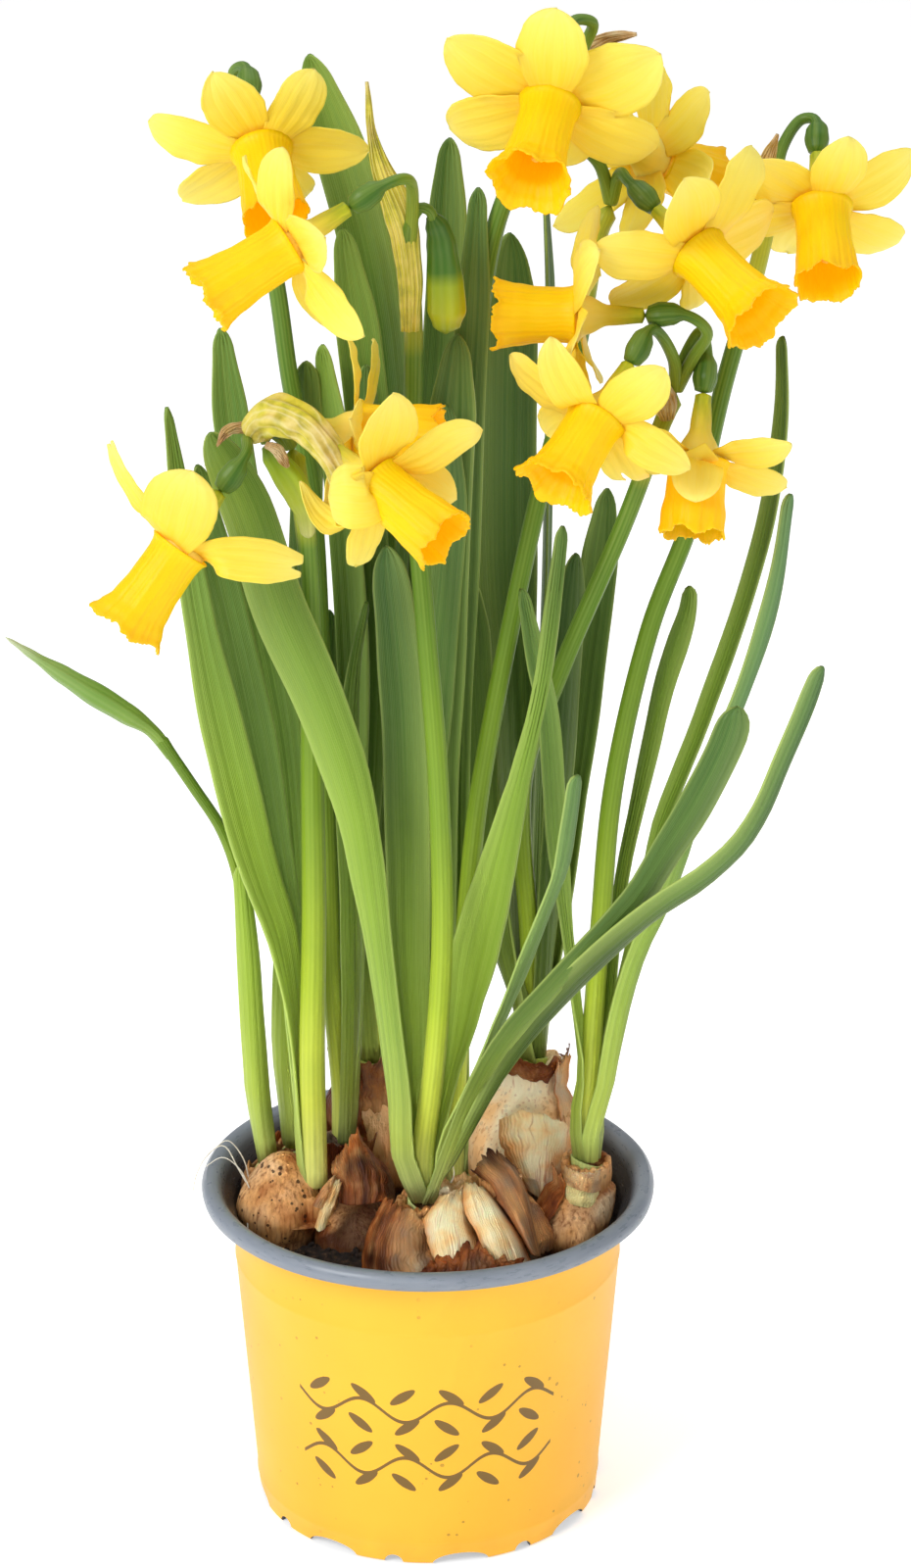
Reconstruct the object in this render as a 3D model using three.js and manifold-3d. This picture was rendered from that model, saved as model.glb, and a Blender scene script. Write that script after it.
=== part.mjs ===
// Potted dwarf daffodil: a thin printed nursery pot with a grey rolled rim, dark potting soil,
// seven bulbs, nine leaf shoots, eight flower stems, twelve open blooms, three buds and their spathes.
// Millimetres, +Z up. The origin is the pot's axis at the floor, and -Y is the front.

import * as THREE from 'three';
import { mergeVertices } from 'three/addons/utils/BufferGeometryUtils.js';
import Module from 'manifold-3d';

const wasm = await Module();
wasm.setup();

// Driving dimensions of the pot
const potHeight = 92;
const rimRadius = 60;
const rimDepth = 6;
const wallTopRadius = 52;
const footRadius = 45.5;
const potWall = 1.2;
const floorHeight = 5;
const padRadius = 15;
const potSides = 24;
const archCount = 8;
const archWidth = 15;
const archRise = 3;
const notchWidth = 5;
const notchRise = 2.4;
const drainCount = 5;
const drainRadius = 4;
const drainCircle = 31;

// Soil, and the gap kept between pieces that touch
const soilLevel = 75;
const touch = 0.3;
const soilGap = 0.7;

// Shoots: the sheath stands in a plain hole in the bulb's neck, and the stem in a hole in the sheath
const sheathRadius = 5;
const sheathDepth = 6;
const sheathRise = 7;
const stemSeat = 1;
const bulbSides = 9;
const stemStep = 32;
const leafThickness = 1.3;
const leafStep = 46;
const sheathReach = 3.9;
const leafRoot = 0.5;
const bladeEdge = 0.6;
const leafChannel = 0.28;
const flatBelow = 9.5;

// Blooms
const hubRadius = 6.4;
const innerDepth = 1;
const outerDepth = 2.1;
const tubeLength = 18;
const ovaryLength = 10;
const ovaryRadius = 3.1;
const pedicelRadius = 1.4;
const petalThickness = 0.9;
const petalRoot = 4.6;
const trumpetBase = 6.8;
const trumpetWall = 0.8;
const trumpetPoints = 15;
const trumpetLobes = 5;

const group = new THREE.Group();

const materials = {
  pot: new THREE.MeshStandardMaterial({ color: 0xf8c843, roughness: 0.45, metalness: 0 }),
  soil: new THREE.MeshStandardMaterial({ color: 0x33241c, roughness: 0.95, metalness: 0 }),
  bulb: new THREE.MeshStandardMaterial({ color: 0xb98452, roughness: 0.7, metalness: 0 }),
  leaf: new THREE.MeshStandardMaterial({ color: 0x5c8f4a, roughness: 0.5, metalness: 0 }),
  stem: new THREE.MeshStandardMaterial({ color: 0x6f9f3c, roughness: 0.5, metalness: 0 }),
  petal: new THREE.MeshStandardMaterial({ color: 0xffe256, roughness: 0.55, metalness: 0 }),
  trumpet: new THREE.MeshStandardMaterial({ color: 0xffc514, roughness: 0.55, metalness: 0 }),
  bud: new THREE.MeshStandardMaterial({ color: 0x9bb03c, roughness: 0.5, metalness: 0 }),
  spathe: new THREE.MeshStandardMaterial({ color: 0xc9ad6a, roughness: 0.8, metalness: 0 }),
};

function vector(place) {
  return new THREE.Vector3(...place);
}

// A unit vector from an azimuth (0 along +X, counter-clockwise) and an elevation, in degrees
function direction(azimuth, elevation = 0) {
  const a = THREE.MathUtils.degToRad(azimuth);
  const e = THREE.MathUtils.degToRad(elevation);
  return new THREE.Vector3(Math.cos(e) * Math.cos(a), Math.cos(e) * Math.sin(a), Math.sin(e));
}

// Piecewise linear value of a profile [[s, value], ...] at s
function along(profile, s) {
  let i = 1;
  while (i < profile.length - 1 && s > profile[i][0]) {
    i += 1;
  }
  const [s0, v0] = profile[i - 1];
  const [s1, v1] = profile[i];
  const t = Math.min(1, Math.max(0, (s - s0) / (s1 - s0)));
  return v0 + (v1 - v0) * t;
}

function toSolid(geometry) {
  const bare = geometry.clone();
  bare.deleteAttribute('normal');
  bare.deleteAttribute('uv');
  const merged = mergeVertices(bare, 1e-4);
  const index = merged.index.array;
  return new wasm.Manifold(new wasm.Mesh({
    numProp: 3,
    vertProperties: new Float32Array(merged.attributes.position.array),
    triVerts: new Uint32Array(index),
  }));
}

function toGeometry(solid) {
  const mesh = solid.getMesh();
  const geometry = new THREE.BufferGeometry();
  geometry.setAttribute('position', new THREE.BufferAttribute(mesh.vertProperties, 3));
  geometry.setIndex(new THREE.BufferAttribute(mesh.triVerts, 1));
  geometry.computeVertexNormals();
  return geometry;
}

function place(name, solid, material) {
  const mesh = new THREE.Mesh(toGeometry(solid), material);
  mesh.name = name;
  group.add(mesh);
  return solid;
}

function join(solids) {
  return solids.reduce((sum, next) => sum.add(next));
}

// Closed solid through rings of equal count; each ring runs counter-clockwise seen against its way.
// Both faces of a flat section are split along the same diagonal.
function loft(rings, flat = false) {
  const n = rings[0].length;
  const positions = [];
  const triangles = [];
  for (const ring of rings) {
    for (const p of ring) {
      positions.push(p.x, p.y, p.z);
    }
  }
  for (let i = 0; i < rings.length - 1; i += 1) {
    for (let j = 0; j < n; j += 1) {
      const a = i * n + j;
      const b = i * n + (j + 1) % n;
      const c = b + n;
      const d = a + n;
      if (flat && j >= n / 2) {
        triangles.push(a, b, d, b, c, d);
      } else {
        triangles.push(a, b, c, a, c, d);
      }
    }
  }
  for (const [ring, outward] of [[0, false], [rings.length - 1, true]]) {
    const a = ring * n;
    if (n === 4) {
      triangles.push(...(outward ? [a, a + 1, a + 2] : [a, a + 2, a + 1]));
      triangles.push(...(outward ? [a, a + 2, a + 3] : [a, a + 3, a + 2]));
      continue;
    }
    const centre = rings[ring].reduce((sum, p) => sum.add(p), new THREE.Vector3()).divideScalar(n);
    const hub = positions.length / 3;
    positions.push(centre.x, centre.y, centre.z);
    for (let j = 0; j < n; j += 1) {
      const b = a + (j + 1) % n;
      triangles.push(...(outward ? [hub, a + j, b] : [hub, b, a + j]));
    }
  }
  const geometry = new THREE.BufferGeometry();
  geometry.setAttribute('position', new THREE.Float32BufferAttribute(positions, 3));
  geometry.setIndex(triangles);
  return toSolid(geometry);
}

function route(points) {
  return new THREE.CatmullRomCurve3(points, false, 'centripetal');
}

// Round rod along a curve, with a radius profile over its length; its section doesn't twist
function rod(curve, radii, { sides = 8, stations = 10, flatten = 1 } = {}) {
  const even = (count) => Array.from({ length: count + 1 }, (_, i) => i / count);
  const places = Array.isArray(stations) ? stations : even(stations);
  const side = new THREE.Vector3(1, 0, 0);
  const rings = places.map((s) => {
    const centre = curve.getPointAt(s);
    const way = curve.getTangentAt(s);
    side.addScaledVector(way, -side.dot(way)).normalize();
    const front = new THREE.Vector3().crossVectors(side, way).normalize();
    const radius = along(radii, s);
    const ring = [];
    for (let j = 0; j < sides; j += 1) {
      const turn = (2 * Math.PI * j) / sides;
      ring.push(centre.clone()
        .addScaledVector(side, -radius * Math.cos(turn))
        .addScaledVector(front, radius * flatten * Math.sin(turn)));
    }
    return ring;
  });
  return loft(rings);
}

// Flat blade along a curve, with blunt edges: four points round its section, or six where it is a channel
function blade(curve, stations, { width, facing, thick, channel = 0 }) {
  const rings = stations.map((s) => {
    const centre = curve.getPointAt(s);
    const way = curve.getTangentAt(s);
    const side = new THREE.Vector3().crossVectors(way, facing(s)).normalize();
    const front = new THREE.Vector3().crossVectors(side, way).normalize();
    const half = width(s) / 2;
    const middle = thick(s) / 2;
    const edge = Math.min(bladeEdge, thick(s)) / 2;
    const rise = half * channel;
    const spot = (x, y) => centre.clone().addScaledVector(side, x).addScaledVector(front, y);
    if (channel === 0) {
      return [spot(-half, middle), spot(half, middle), spot(half, -middle), spot(-half, -middle)];
    }
    return [
      spot(-half, rise + edge), spot(0, middle), spot(half, rise + edge),
      spot(half, rise - edge), spot(0, -middle), spot(-half, rise - edge),
    ];
  });
  return loft(rings, true);
}

// Plain upright cylinder between two heights
function upright(x, y, low, high, radius, sides = 12) {
  const geometry = new THREE.CylinderGeometry(radius, radius, high - low, sides);
  geometry.rotateX(Math.PI / 2);
  geometry.translate(x, y, (low + high) / 2);
  return toSolid(geometry);
}

// The pot: one thin revolved piece with a rolled rim, a raised floor and a notched foot

function makePot() {
  const lip = potHeight - rimDepth;
  const profile = [
    [0, 0], [padRadius, 0], [padRadius + 4, floorHeight], [footRadius - 2, floorHeight],
    [footRadius - 1.6, 0], [footRadius, 0], [wallTopRadius, lip - 2], [wallTopRadius + 2.6, lip + 2.4],
    [rimRadius - 1.5, lip + 2.6],
    [rimRadius - 1.4, lip], [rimRadius - 0.2, lip], [rimRadius, lip + 3.5], [rimRadius - 1.8, potHeight],
    [rimRadius - 5.2, potHeight - 0.8], [wallTopRadius - 0.4, lip + 0.6],
    [wallTopRadius - potWall, lip - 2],
    [footRadius - potWall, floorHeight + 1.6], [padRadius + 5.5, floorHeight + potWall],
    [padRadius + 1.5, potWall], [0, potWall],
  ];
  const lathe = new THREE.LatheGeometry(profile.map(([r, z]) => new THREE.Vector2(r, z)), potSides);
  lathe.rotateX(Math.PI / 2);
  let pot = toSolid(lathe);
  for (let i = 0; i < 2 * archCount; i += 1) {
    const wide = i % 2 === 0;
    const radius = (wide ? archWidth : notchWidth) / 2;
    const cutter = new THREE.CylinderGeometry(radius, radius, 6, wide ? 8 : 6);
    cutter.scale(1, 1, (wide ? archRise : notchRise) / radius);
    cutter.translate(0, footRadius - 1, 0);
    cutter.rotateZ((Math.PI * (i + 0.5)) / archCount);
    pot = pot.subtract(toSolid(cutter));
  }
  for (let i = 0; i < drainCount; i += 1) {
    const turn = (2 * Math.PI * i) / drainCount;
    const [x, y] = [drainCircle * Math.cos(turn), drainCircle * Math.sin(turn)];
    pot = pot.subtract(upright(x, y, -1, floorHeight + 7, drainRadius, 8));
  }
  return pot;
}

// Bulbs: onion-shaped noses, each with a foot, a belly and a neck

const bulbs = {
  bulb_front: [
    { belly: [3, -21, 76], radius: 17, neck: [-1, -16, 92], neckRadius: 7.5 },
    { belly: [7, -10, 78], radius: 10, neck: [7, -6, 93], neckRadius: 6.6 },
  ],
  bulb_left: [
    { belly: [-37, -1, 81], radius: 11, neck: [-30, -4, 89], neckRadius: 6.4 },
    { belly: [-38, 7, 78], radius: 8, neck: [-43, 9, 90], neckRadius: 5 },
    { belly: [-35, 12, 78], radius: 8, neck: [-36, 18, 91], neckRadius: 5.6 },
  ],
  bulb_mid_left: [
    { belly: [-22, 11, 79], radius: 10, neck: [-23, 13, 95], neckRadius: 6.6 },
  ],
  bulb_back_left: [
    { belly: [-12, 28, 85], radius: 12, neck: [-15, 27, 112], neckRadius: 7.4 },
  ],
  bulb_right: [
    { belly: [38, -8, 80], radius: 9, neck: [42, -2, 97], neckRadius: 6.6 },
  ],
  bulb_back_right: [
    { belly: [24, 24, 88], radius: 13, neck: [28, 29, 112], neckRadius: 8 },
  ],
  bulb_centre: [
    { belly: [22, -12, 80], radius: 10, neck: [19, -11, 97], neckRadius: 6 },
  ],
};

function footLevel(belly, radius) {
  return belly[2] - radius * 1.05;
}

function makeNose({ belly, radius, neck, neckRadius }, grow = 0, phase = 0) {
  const foot = [belly[0], belly[1], footLevel(belly, radius) - grow];
  const top = [neck[0], neck[1], neck[2] + grow];
  const under = [neck[0], neck[1], neck[2] - 6];
  const curve = route([foot, belly, under, top].map(vector));
  const length = curve.getLength();
  const waist = 1 - 7 / length;
  const radii = [
    [0, radius * 0.6], [0.2, radius * 0.92], [0.42, radius], [0.66, (radius + neckRadius) / 2],
    [waist, neckRadius * 0.94], [1, neckRadius],
  ];
  const rings = radii.map(([s]) => {
    const centre = curve.getPointAt(s);
    const lump = Math.sin(Math.PI * Math.min(1, s / waist));
    const ring = [];
    for (let j = 0; j < bulbSides; j += 1) {
      const turn = (2 * Math.PI * j) / bulbSides;
      const swell = 1 + lump * 0.035 * Math.sin(3 * turn + phase);
      const r = along(radii, s) * swell + grow;
      ring.push(centre.clone().add(new THREE.Vector3(r * Math.cos(turn), r * Math.sin(turn), 0)));
    }
    return ring;
  });
  return loft(rings);
}

function makeBulb(noses, grow = 0) {
  return join(noses.map((nose, i) => makeNose(nose, grow, nose.belly[0] + i)));
}

// Shoots: each stands in one bulb neck and holds the leaves that fan out from its sheath.
// A leaf starts at the angle around its shoot, and its points run to the tip.

const shoots = {
  leaves_front: {
    bulb: 'bulb_front', at: [-1, -16, 92], stem: 'stem_front',
    leaves: [
      { around: 215, face: 88, width: 14.5, tip: 0.1,
        points: [[-5, -23, 131], [-9, -26, 165], [-16, -27, 198], [-24, -25, 229], [-35, -22, 259],
          [-44, -19, 283], [-53, -17, 303]] },
      { around: 130, face: -80, width: 12.5, tip: 0.08,
        points: [[-5, -13, 125], [-5, -11, 183], [-6, -10, 215], [-7, -10, 248], [-10, -10, 271]] },
      { around: 50, face: -100, width: 13.5, tip: 0.08,
        points: [[5, -14, 125], [11, -15, 150], [16, -17, 177], [21, -18, 207], [26, -17, 238],
          [31, -16, 263], [34, -15, 278]] },
      { around: 350, face: 140, width: 7.5, tip: 0.1,
        points: [[9, -22, 125], [19, -27, 151], [28, -30, 179], [34, -31, 201], [37, -30, 218]] },
      { around: 310, face: 110, width: 8, tip: 0.2,
        points: [[9, -26, 121], [25, -38, 149], [44, -44, 173], [60, -46, 196], [71, -44, 217],
          [77, -41, 237]] },
      { around: 285, face: 143, width: 8.5, tip: 0.15,
        points: [[4, -25, 117], [10, -30, 135], [19, -36, 150], [31, -43, 169], [44, -49, 185],
          [58, -54, 199], [72, -56, 210], [83, -56, 223], [91, -54, 239], [96, -50, 254]] },
    ],
  },
  leaves_front_rear: {
    bulb: 'bulb_front', at: [7, -6, 93], stem: 'stem_tall_right',
    leaves: [
      { around: 60, face: -90, width: 9, tip: 0.12,
        points: [[8, 2, 151], [8, 4, 220], [10, 5, 291], [12, 5, 336], [13, 5, 359]] },
      { around: 110, face: -90, width: 12.5, tip: 0.1,
        points: [[3, 0, 140], [3, 0, 190], [4, 0, 244], [6, 0, 292], [8, 0, 323]] },
      { around: 170, face: -70, width: 9, tip: 0.15,
        points: [[-1, -4, 140], [0, -4, 190], [2, -5, 243], [5, -6, 283], [5, -7, 307]] },
    ],
  },
  leaves_left: {
    bulb: 'bulb_left', at: [-30, -4, 89], stem: 'stem_cluster_left',
    leaves: [
      { around: 170, face: -62, width: 13, tip: 0.35,
        points: [[-37, -4, 133], [-43, -7, 170], [-49, -9, 201], [-55, -10, 234], [-59, -10, 262],
          [-62, -10, 288], [-64, -9, 307]] },
      { around: 130, face: -68, width: 10.5, tip: 0.15,
        points: [[-34, 1, 130], [-37, 0, 170], [-42, -1, 206], [-48, -2, 240], [-54, -3, 270],
          [-57, -3, 290]] },
      { around: 85, face: -80, width: 9.5, tip: 0.1,
        points: [[-32, 4, 130], [-33, 6, 165], [-36, 7, 210], [-41, 7, 244], [-46, 7, 276],
          [-49, 6, 300], [-51, 5, 323]] },
    ],
  },
  leaves_far_left: {
    bulb: 'bulb_left', at: [-43, 9, 90], stem: 'stem_far_left', slim: 1.6,
    leaves: [
      { around: 200, face: -70, width: 5, tip: 0.3,
        points: [[-49, 6, 131], [-50, 4, 151], [-51, 3, 177]] },
    ],
  },
  leaves_pale: {
    bulb: 'bulb_left', at: [-36, 18, 91], slim: 1,
    leaves: [
      { around: 250, face: 80, width: 8, tip: 0.12,
        points: [[-36, 16, 130], [-34, 15, 170], [-32, 15, 215], [-31, 14, 260], [-30, 14, 290],
          [-30, 13, 312]] },
    ],
  },
  leaves_mid_left: {
    bulb: 'bulb_mid_left', at: [-23, 13, 95], stem: 'stem_high_left',
    leaves: [
      { around: 20, face: -110, width: 9, tip: 0.12,
        points: [[-18, 13, 150], [-18, 12, 200], [-19, 13, 245], [-22, 14, 285], [-26, 14, 316]] },
      { around: 300, face: 100, width: 6.5, tip: 0.3,
        points: [[-20, 6, 140], [-20, 2, 180], [-20, -1, 215], [-18, -3, 238], [-15, -4, 254]] },
    ],
  },
  leaves_back_left: {
    bulb: 'bulb_back_left', at: [-15, 27, 112], stem: 'stem_high_centre',
    leaves: [
      { around: 100, face: -95, width: 14, tip: 0.1,
        points: [[-15, 35, 160], [-11, 36, 220], [-9, 36, 280], [-13, 35, 325], [-21, 33, 360],
          [-29, 31, 386]] },
      { around: 160, face: -80, width: 12, tip: 0.12,
        points: [[-20, 29, 160], [-16, 27, 220], [-14, 26, 275], [-17, 26, 312], [-21, 25, 343]] },
      { around: 240, face: 90, width: 9, tip: 0.12,
        points: [[-18, 20, 150], [-15, 17, 200], [-14, 15, 250], [-15, 14, 290], [-15, 13, 311]] },
      { around: 40, face: -100, width: 10, tip: 0.08,
        points: [[-9, 32, 160], [-3, 30, 220], [2, 28, 285], [5, 27, 330], [6, 26, 366]] },
      { around: 200, face: -60, width: 8, tip: 0.15,
        points: [[-23, 24, 145], [-26, 22, 185], [-27, 21, 215], [-25, 20, 243]] },
    ],
  },
  leaves_back_right: {
    bulb: 'bulb_back_right', at: [28, 29, 112], stem: 'stem_cluster_right',
    leaves: [
      { around: 170, face: -80, width: 13, tip: 0.1,
        points: [[22, 29, 160], [20, 28, 210], [19, 28, 260], [20, 28, 305], [21, 28, 341]] },
      { around: 90, face: -10, width: 8, tip: 0.12,
        points: [[29, 35, 160], [30, 36, 220], [31, 37, 285], [31, 37, 320], [30, 36, 349]] },
      { around: 20, face: -95, width: 10, tip: 0.12,
        points: [[35, 28, 150], [38, 24, 190], [41, 21, 225], [44, 18, 255], [46, 17, 277]] },
      { around: 315, face: 110, width: 9, tip: 0.12,
        points: [[32, 22, 150], [34, 17, 190], [36, 13, 230], [38, 10, 262]] },
      { around: 215, face: 80, width: 10, tip: 0.12,
        points: [[18, 25, 150], [14, 23, 190], [12, 21, 225], [11, 20, 252]] },
    ],
  },
  leaves_right: {
    bulb: 'bulb_right', at: [42, -2, 97], stem: 'stem_right',
    leaves: [
      { around: 190, face: -55, width: 8, tip: 0.12,
        points: [[37, -4, 135], [34, -6, 175], [31, -7, 210], [27, -8, 240], [24, -8, 259]] },
      { around: 75, face: -80, width: 8.5, tip: 0.12,
        points: [[45, 4, 135], [49, 6, 170], [54, 8, 205], [60, 9, 230], [65, 9, 254]] },
      { around: 310, face: 130, width: 9, tip: 0.1,
        points: [[47, -7, 132], [53, -8, 163], [60, -9, 184], [68, -9, 201], [76, -8, 220],
          [83, -7, 246], [88, -6, 266], [91, -5, 283]] },
      { around: 5, face: -160, width: 8, tip: 0.1,
        points: [[50, 0, 135], [57, 1, 166], [67, 3, 196], [78, 5, 233], [86, 7, 270], [89, 8, 298],
          [89, 8, 320]] },
    ],
  },
};

// Strap leaf, twisting from facing its own shoot to the azimuth that it faces higher up
function makeLeaf({ around, face, width, tip, points }, at, slim = 0) {
  const out = direction(around);
  const foot = vector(at);
  const reach = sheathReach - slim;
  const start = foot.clone().addScaledVector(out, reach - 0.5).setZ(at[2] + leafRoot);
  const above = foot.clone().addScaledVector(out, reach + 0.5).setZ(at[2] + 12);
  const curve = route([start, above, ...points.map(vector)]);
  const steps = Math.max(Math.round(curve.getLength() / leafStep) + 1, points.length);
  const stations = Array.from({ length: steps + 1 }, (_, i) => (0.9 * i) / steps);
  stations.push(0.96, 1);
  const widths = [
    [0, 0.55], [0.12, 0.7], [0.4, 1], [0.72, 0.98], [1 - tip, 0.86], [1 - tip * 0.35, 0.5], [1, 0.12],
  ];
  let turn = face - (around + 180);
  turn -= 360 * Math.round(turn / 360);
  return blade(curve, stations, {
    width: (s) => (width - slim) * along(widths, s),
    facing: (s) => direction(around + 180 + turn * Math.min(1, s * 1.8)),
    thick: (s) => leafThickness * (1.15 - 0.35 * s),
    channel: width < flatBelow ? 0 : leafChannel,
  });
}

function makeShoot(shoot) {
  const [x, y, z] = shoot.at;
  const radius = sheathRadius - (shoot.slim ?? 0);
  const sheath = rod(
    route([[x, y, z - sheathDepth], [x, y, z], [x, y, z + sheathRise]].map(vector)),
    [[0, radius], [1, radius * 0.96]],
    { sides: 12, stations: 2 },
  );
  const leaves = shoot.leaves.map((leaf) => makeLeaf(leaf, shoot.at, shoot.slim));
  const whole = join([sheath, ...leaves]);
  if (!shoot.stem) {
    return whole;
  }
  const bore = stems[shoot.stem].radius + touch;
  return whole.subtract(upright(x, y, z - stemSeat, z + sheathRise + 12, bore, 10));
}

// Stems: each ends at its head, where the pedicels start

const stems = {
  stem_front: { radius: 2.5, top: 2.2,
    points: [[2, -22, 135], [4, -25, 170], [3, -23, 214], [0, -17, 252], [-3, -9, 290],
      [-3, -9, 330], [-4, -11, 347]] },
  stem_tall_right: { radius: 2.6, top: 2.2,
    points: [[8, -9, 130], [11, -10, 180], [14, -8, 207], [27, 4, 273], [38, 15, 315], [43, 16, 344],
      [46, 16, 352]] },
  stem_cluster_left: { radius: 3.1, top: 2.4,
    points: [[-30, -7, 130], [-29, -9, 170], [-29, -10, 210], [-29, -12, 247], [-30, -14, 278],
      [-33, -16, 299]] },
  stem_far_left: { radius: 1.6, top: 1.5,
    points: [[-45, 10, 120], [-47, 10, 150], [-49, 8, 173], [-53, 5, 188], [-60, 1, 202],
      [-69, -2, 218]] },
  stem_high_left: { radius: 2.5, top: 2.1,
    points: [[-25, 10, 140], [-26, 8, 190], [-27, 7, 240], [-29, 7, 280], [-34, 9, 308],
      [-37, 15, 329], [-41, 21, 352], [-42, 24, 362]] },
  stem_high_centre: { radius: 2.6, top: 2.2,
    points: [[-12, 26, 150], [-5, 22, 190], [4, 16, 239], [10, 12, 293], [14, 9, 329], [18, 7, 351],
      [26, 9, 370], [32, 12, 380]] },
  stem_cluster_right: { radius: 2.6, top: 2.2,
    points: [[27, 24, 150], [25, 16, 198], [34, 6, 231], [50, -2, 275], [58, -4, 299], [62, -5, 310]] },
  stem_right: { radius: 2.7, top: 2.1,
    points: [[43, -2, 130], [45, -2, 165], [48, 1, 202], [57, 5, 244], [67, 8, 272], [75, 12, 307],
      [83, 17, 336], [87, 21, 355]] },
};

// The shoot that a stem stands in
function shootOf(name) {
  return Object.values(shoots).find((shoot) => shoot.stem === name);
}

function stemCurve(name) {
  const [x, y, z] = shootOf(name).at;
  const low = [[x, y, z - stemSeat + touch], [x, y, z + sheathRise], [x, y, z + 2 * sheathRise]];
  return route([...low, ...stems[name].points].map(vector));
}

// Blooms: hub is where the petals meet, aim the trumpet's azimuth and elevation, roll the first petal's
// angle. Each of six petals has its own lean back and its own length, and via leads the pedicel from the
// stem's head.

const blooms = [
  { stem: 'stem_high_left', hub: [-40, 4, 368], aim: [-78, -34], roll: 28, long: 21, mouth: 8.5, width: 13,
    lean: [4, 24, 14, 8, -6, 20], reach: [29, 29, 32, 28, 27, 25],
    via: [[-46, 29, 372], [-48, 32, 381]] },
  { stem: 'stem_front', hub: [-33, -37, 356], aim: [-165, -29], roll: 44, long: 23, mouth: 9, width: 13.5,
    lean: [2, 10, -4, 4, 12, 24], reach: [26, 27, 30, 30, 27, 27],
    via: [[-3, -15, 360], [-4, -24, 369]] },
  { stem: 'stem_high_centre', hub: [30, -14, 384], aim: [-105, -34], roll: 52, long: 24, mouth: 11, width: 18,
    lean: [2, -2, 6, 8, 16, 14], reach: [30, 29, 27, 30, 30, 28],
    via: [[39, 16, 392], [41, 14, 398]] },
  { stem: 'stem_tall_right', hub: [57, 22, 362], aim: [41, -26], roll: 38, long: 21, mouth: 9, width: 14,
    lean: [6, 8, 16, 12, 8, 8], reach: [24, 26, 24, 31, 26, 26],
    via: [[43, 12, 363], [37, 7, 371]] },
  { stem: 'stem_tall_right', hub: [67, -16, 348], aim: [-47, -28], roll: 32, long: 24, mouth: 10.5, width: 15,
    lean: [0, 26, 22, 6, 8, 16], reach: [30, 28, 26, 27, 31, 29],
    via: [[48, 11, 361]] },
  { stem: 'stem_right', hub: [98, 9, 352], aim: [-88, -38], roll: 48, long: 22, mouth: 8.6, width: 14,
    lean: [0, 8, 12, 6, 26, 10], reach: [26, 27, 29, 29, 27, 24],
    via: [[89, 28, 363], [94, 33, 369]] },
  { stem: 'stem_cluster_right', hub: [36, -13, 332], aim: [175, -1], roll: 22, long: 19, mouth: 9, width: 14,
    lean: [8, 10, 8, 8, -6, 14], reach: [27, 24, 27, 25, 25, 28],
    via: [[66, -9, 320], [69, -14, 328]] },
  { stem: 'stem_cluster_right', hub: [41, -36, 312], aim: [-130, -40], roll: 2, long: 20, mouth: 10.5, width: 14.5,
    lean: [4, 10, -6, -6, 2, 26], reach: [30, 27, 26, 24, 27, 27],
    via: [[61, -10, 320]] },
  { stem: 'stem_cluster_right', hub: [67, -20, 296], aim: [-100, -60], roll: 54, long: 18, mouth: 8, width: 13,
    lean: [8, 8, -4, -8, 4, 8], reach: [26, 26, 27, 26, 26, 26],
    via: [[64, -4, 318], [68, -4, 325]] },
  { stem: 'stem_cluster_left', hub: [-11, -49, 300], aim: [-35, -27], roll: 12, long: 22, mouth: 8.6, width: 13.5,
    lean: [4, -4, 6, -6, -8, -8], reach: [28, 29, 26, 28, 23, 29],
    via: [[-35, -20, 305], [-37, -28, 311]] },
  { stem: 'stem_cluster_left', hub: [-15, -22, 305], aim: [-9, -1], roll: 4, long: 19, mouth: 8, width: 12.5,
    lean: [4, -6, 8, 8, 6, 0], reach: [26, 21, 26, 26, 26, 29],
    via: [[-38, -16, 304]] },
  { stem: 'stem_cluster_left', hub: [-60, -42, 281], aim: [-159, -52], roll: 36, long: 23, mouth: 10.5, width: 15,
    lean: [20, 30, 12, 28, 14, 12], reach: [31, 28, 27, 30, 27, 27],
    via: [[-38, -19, 304], [-43, -23, 304]] },
];

function aimOf(bloom) {
  return direction(...bloom.aim);
}

// A place on the bloom's axis, in front of its hub or, with a minus, behind it
function onAxis(bloom, distance) {
  return vector(bloom.hub).addScaledVector(aimOf(bloom), distance);
}

// Pedicel and ovary of one bloom, from the stem's head to the foot of the bloom's tube
function makePedicel(bloom) {
  const head = vector(stems[bloom.stem].points.at(-1));
  const seat = tubeLength + touch;
  const curve = route([
    head, ...bloom.via.map(vector), onAxis(bloom, -seat - ovaryLength), onAxis(bloom, -seat),
  ]);
  const length = curve.getLength();
  const share = ovaryLength / length;
  const start = 1 - share;
  const radii = [
    [0, pedicelRadius * 1.2], [start, pedicelRadius], [start + share * 0.3, ovaryRadius * 0.9],
    [start + share * 0.6, ovaryRadius], [1, ovaryRadius * 0.68],
  ];
  const stations = [0, start * 0.35, start * 0.7, ...radii.slice(1).map(([s]) => s)];
  return rod(curve, radii, { sides: 6, stations });
}

// Pedicel of a bud, ending just short of the bud's foot
function makeStalk({ stem, via, points }) {
  const way = route(points.map(vector)).getTangentAt(0);
  const [above, end] = [2.5, 0.5].map((back) => vector(points[0]).addScaledVector(way, -back));
  const curve = route([vector(stems[stem].points.at(-1)), ...via.map(vector), above, end]);
  return rod(curve, [[0, pedicelRadius * 1.2], [1, pedicelRadius * 0.9]], { sides: 6, stations: 4 });
}

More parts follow.
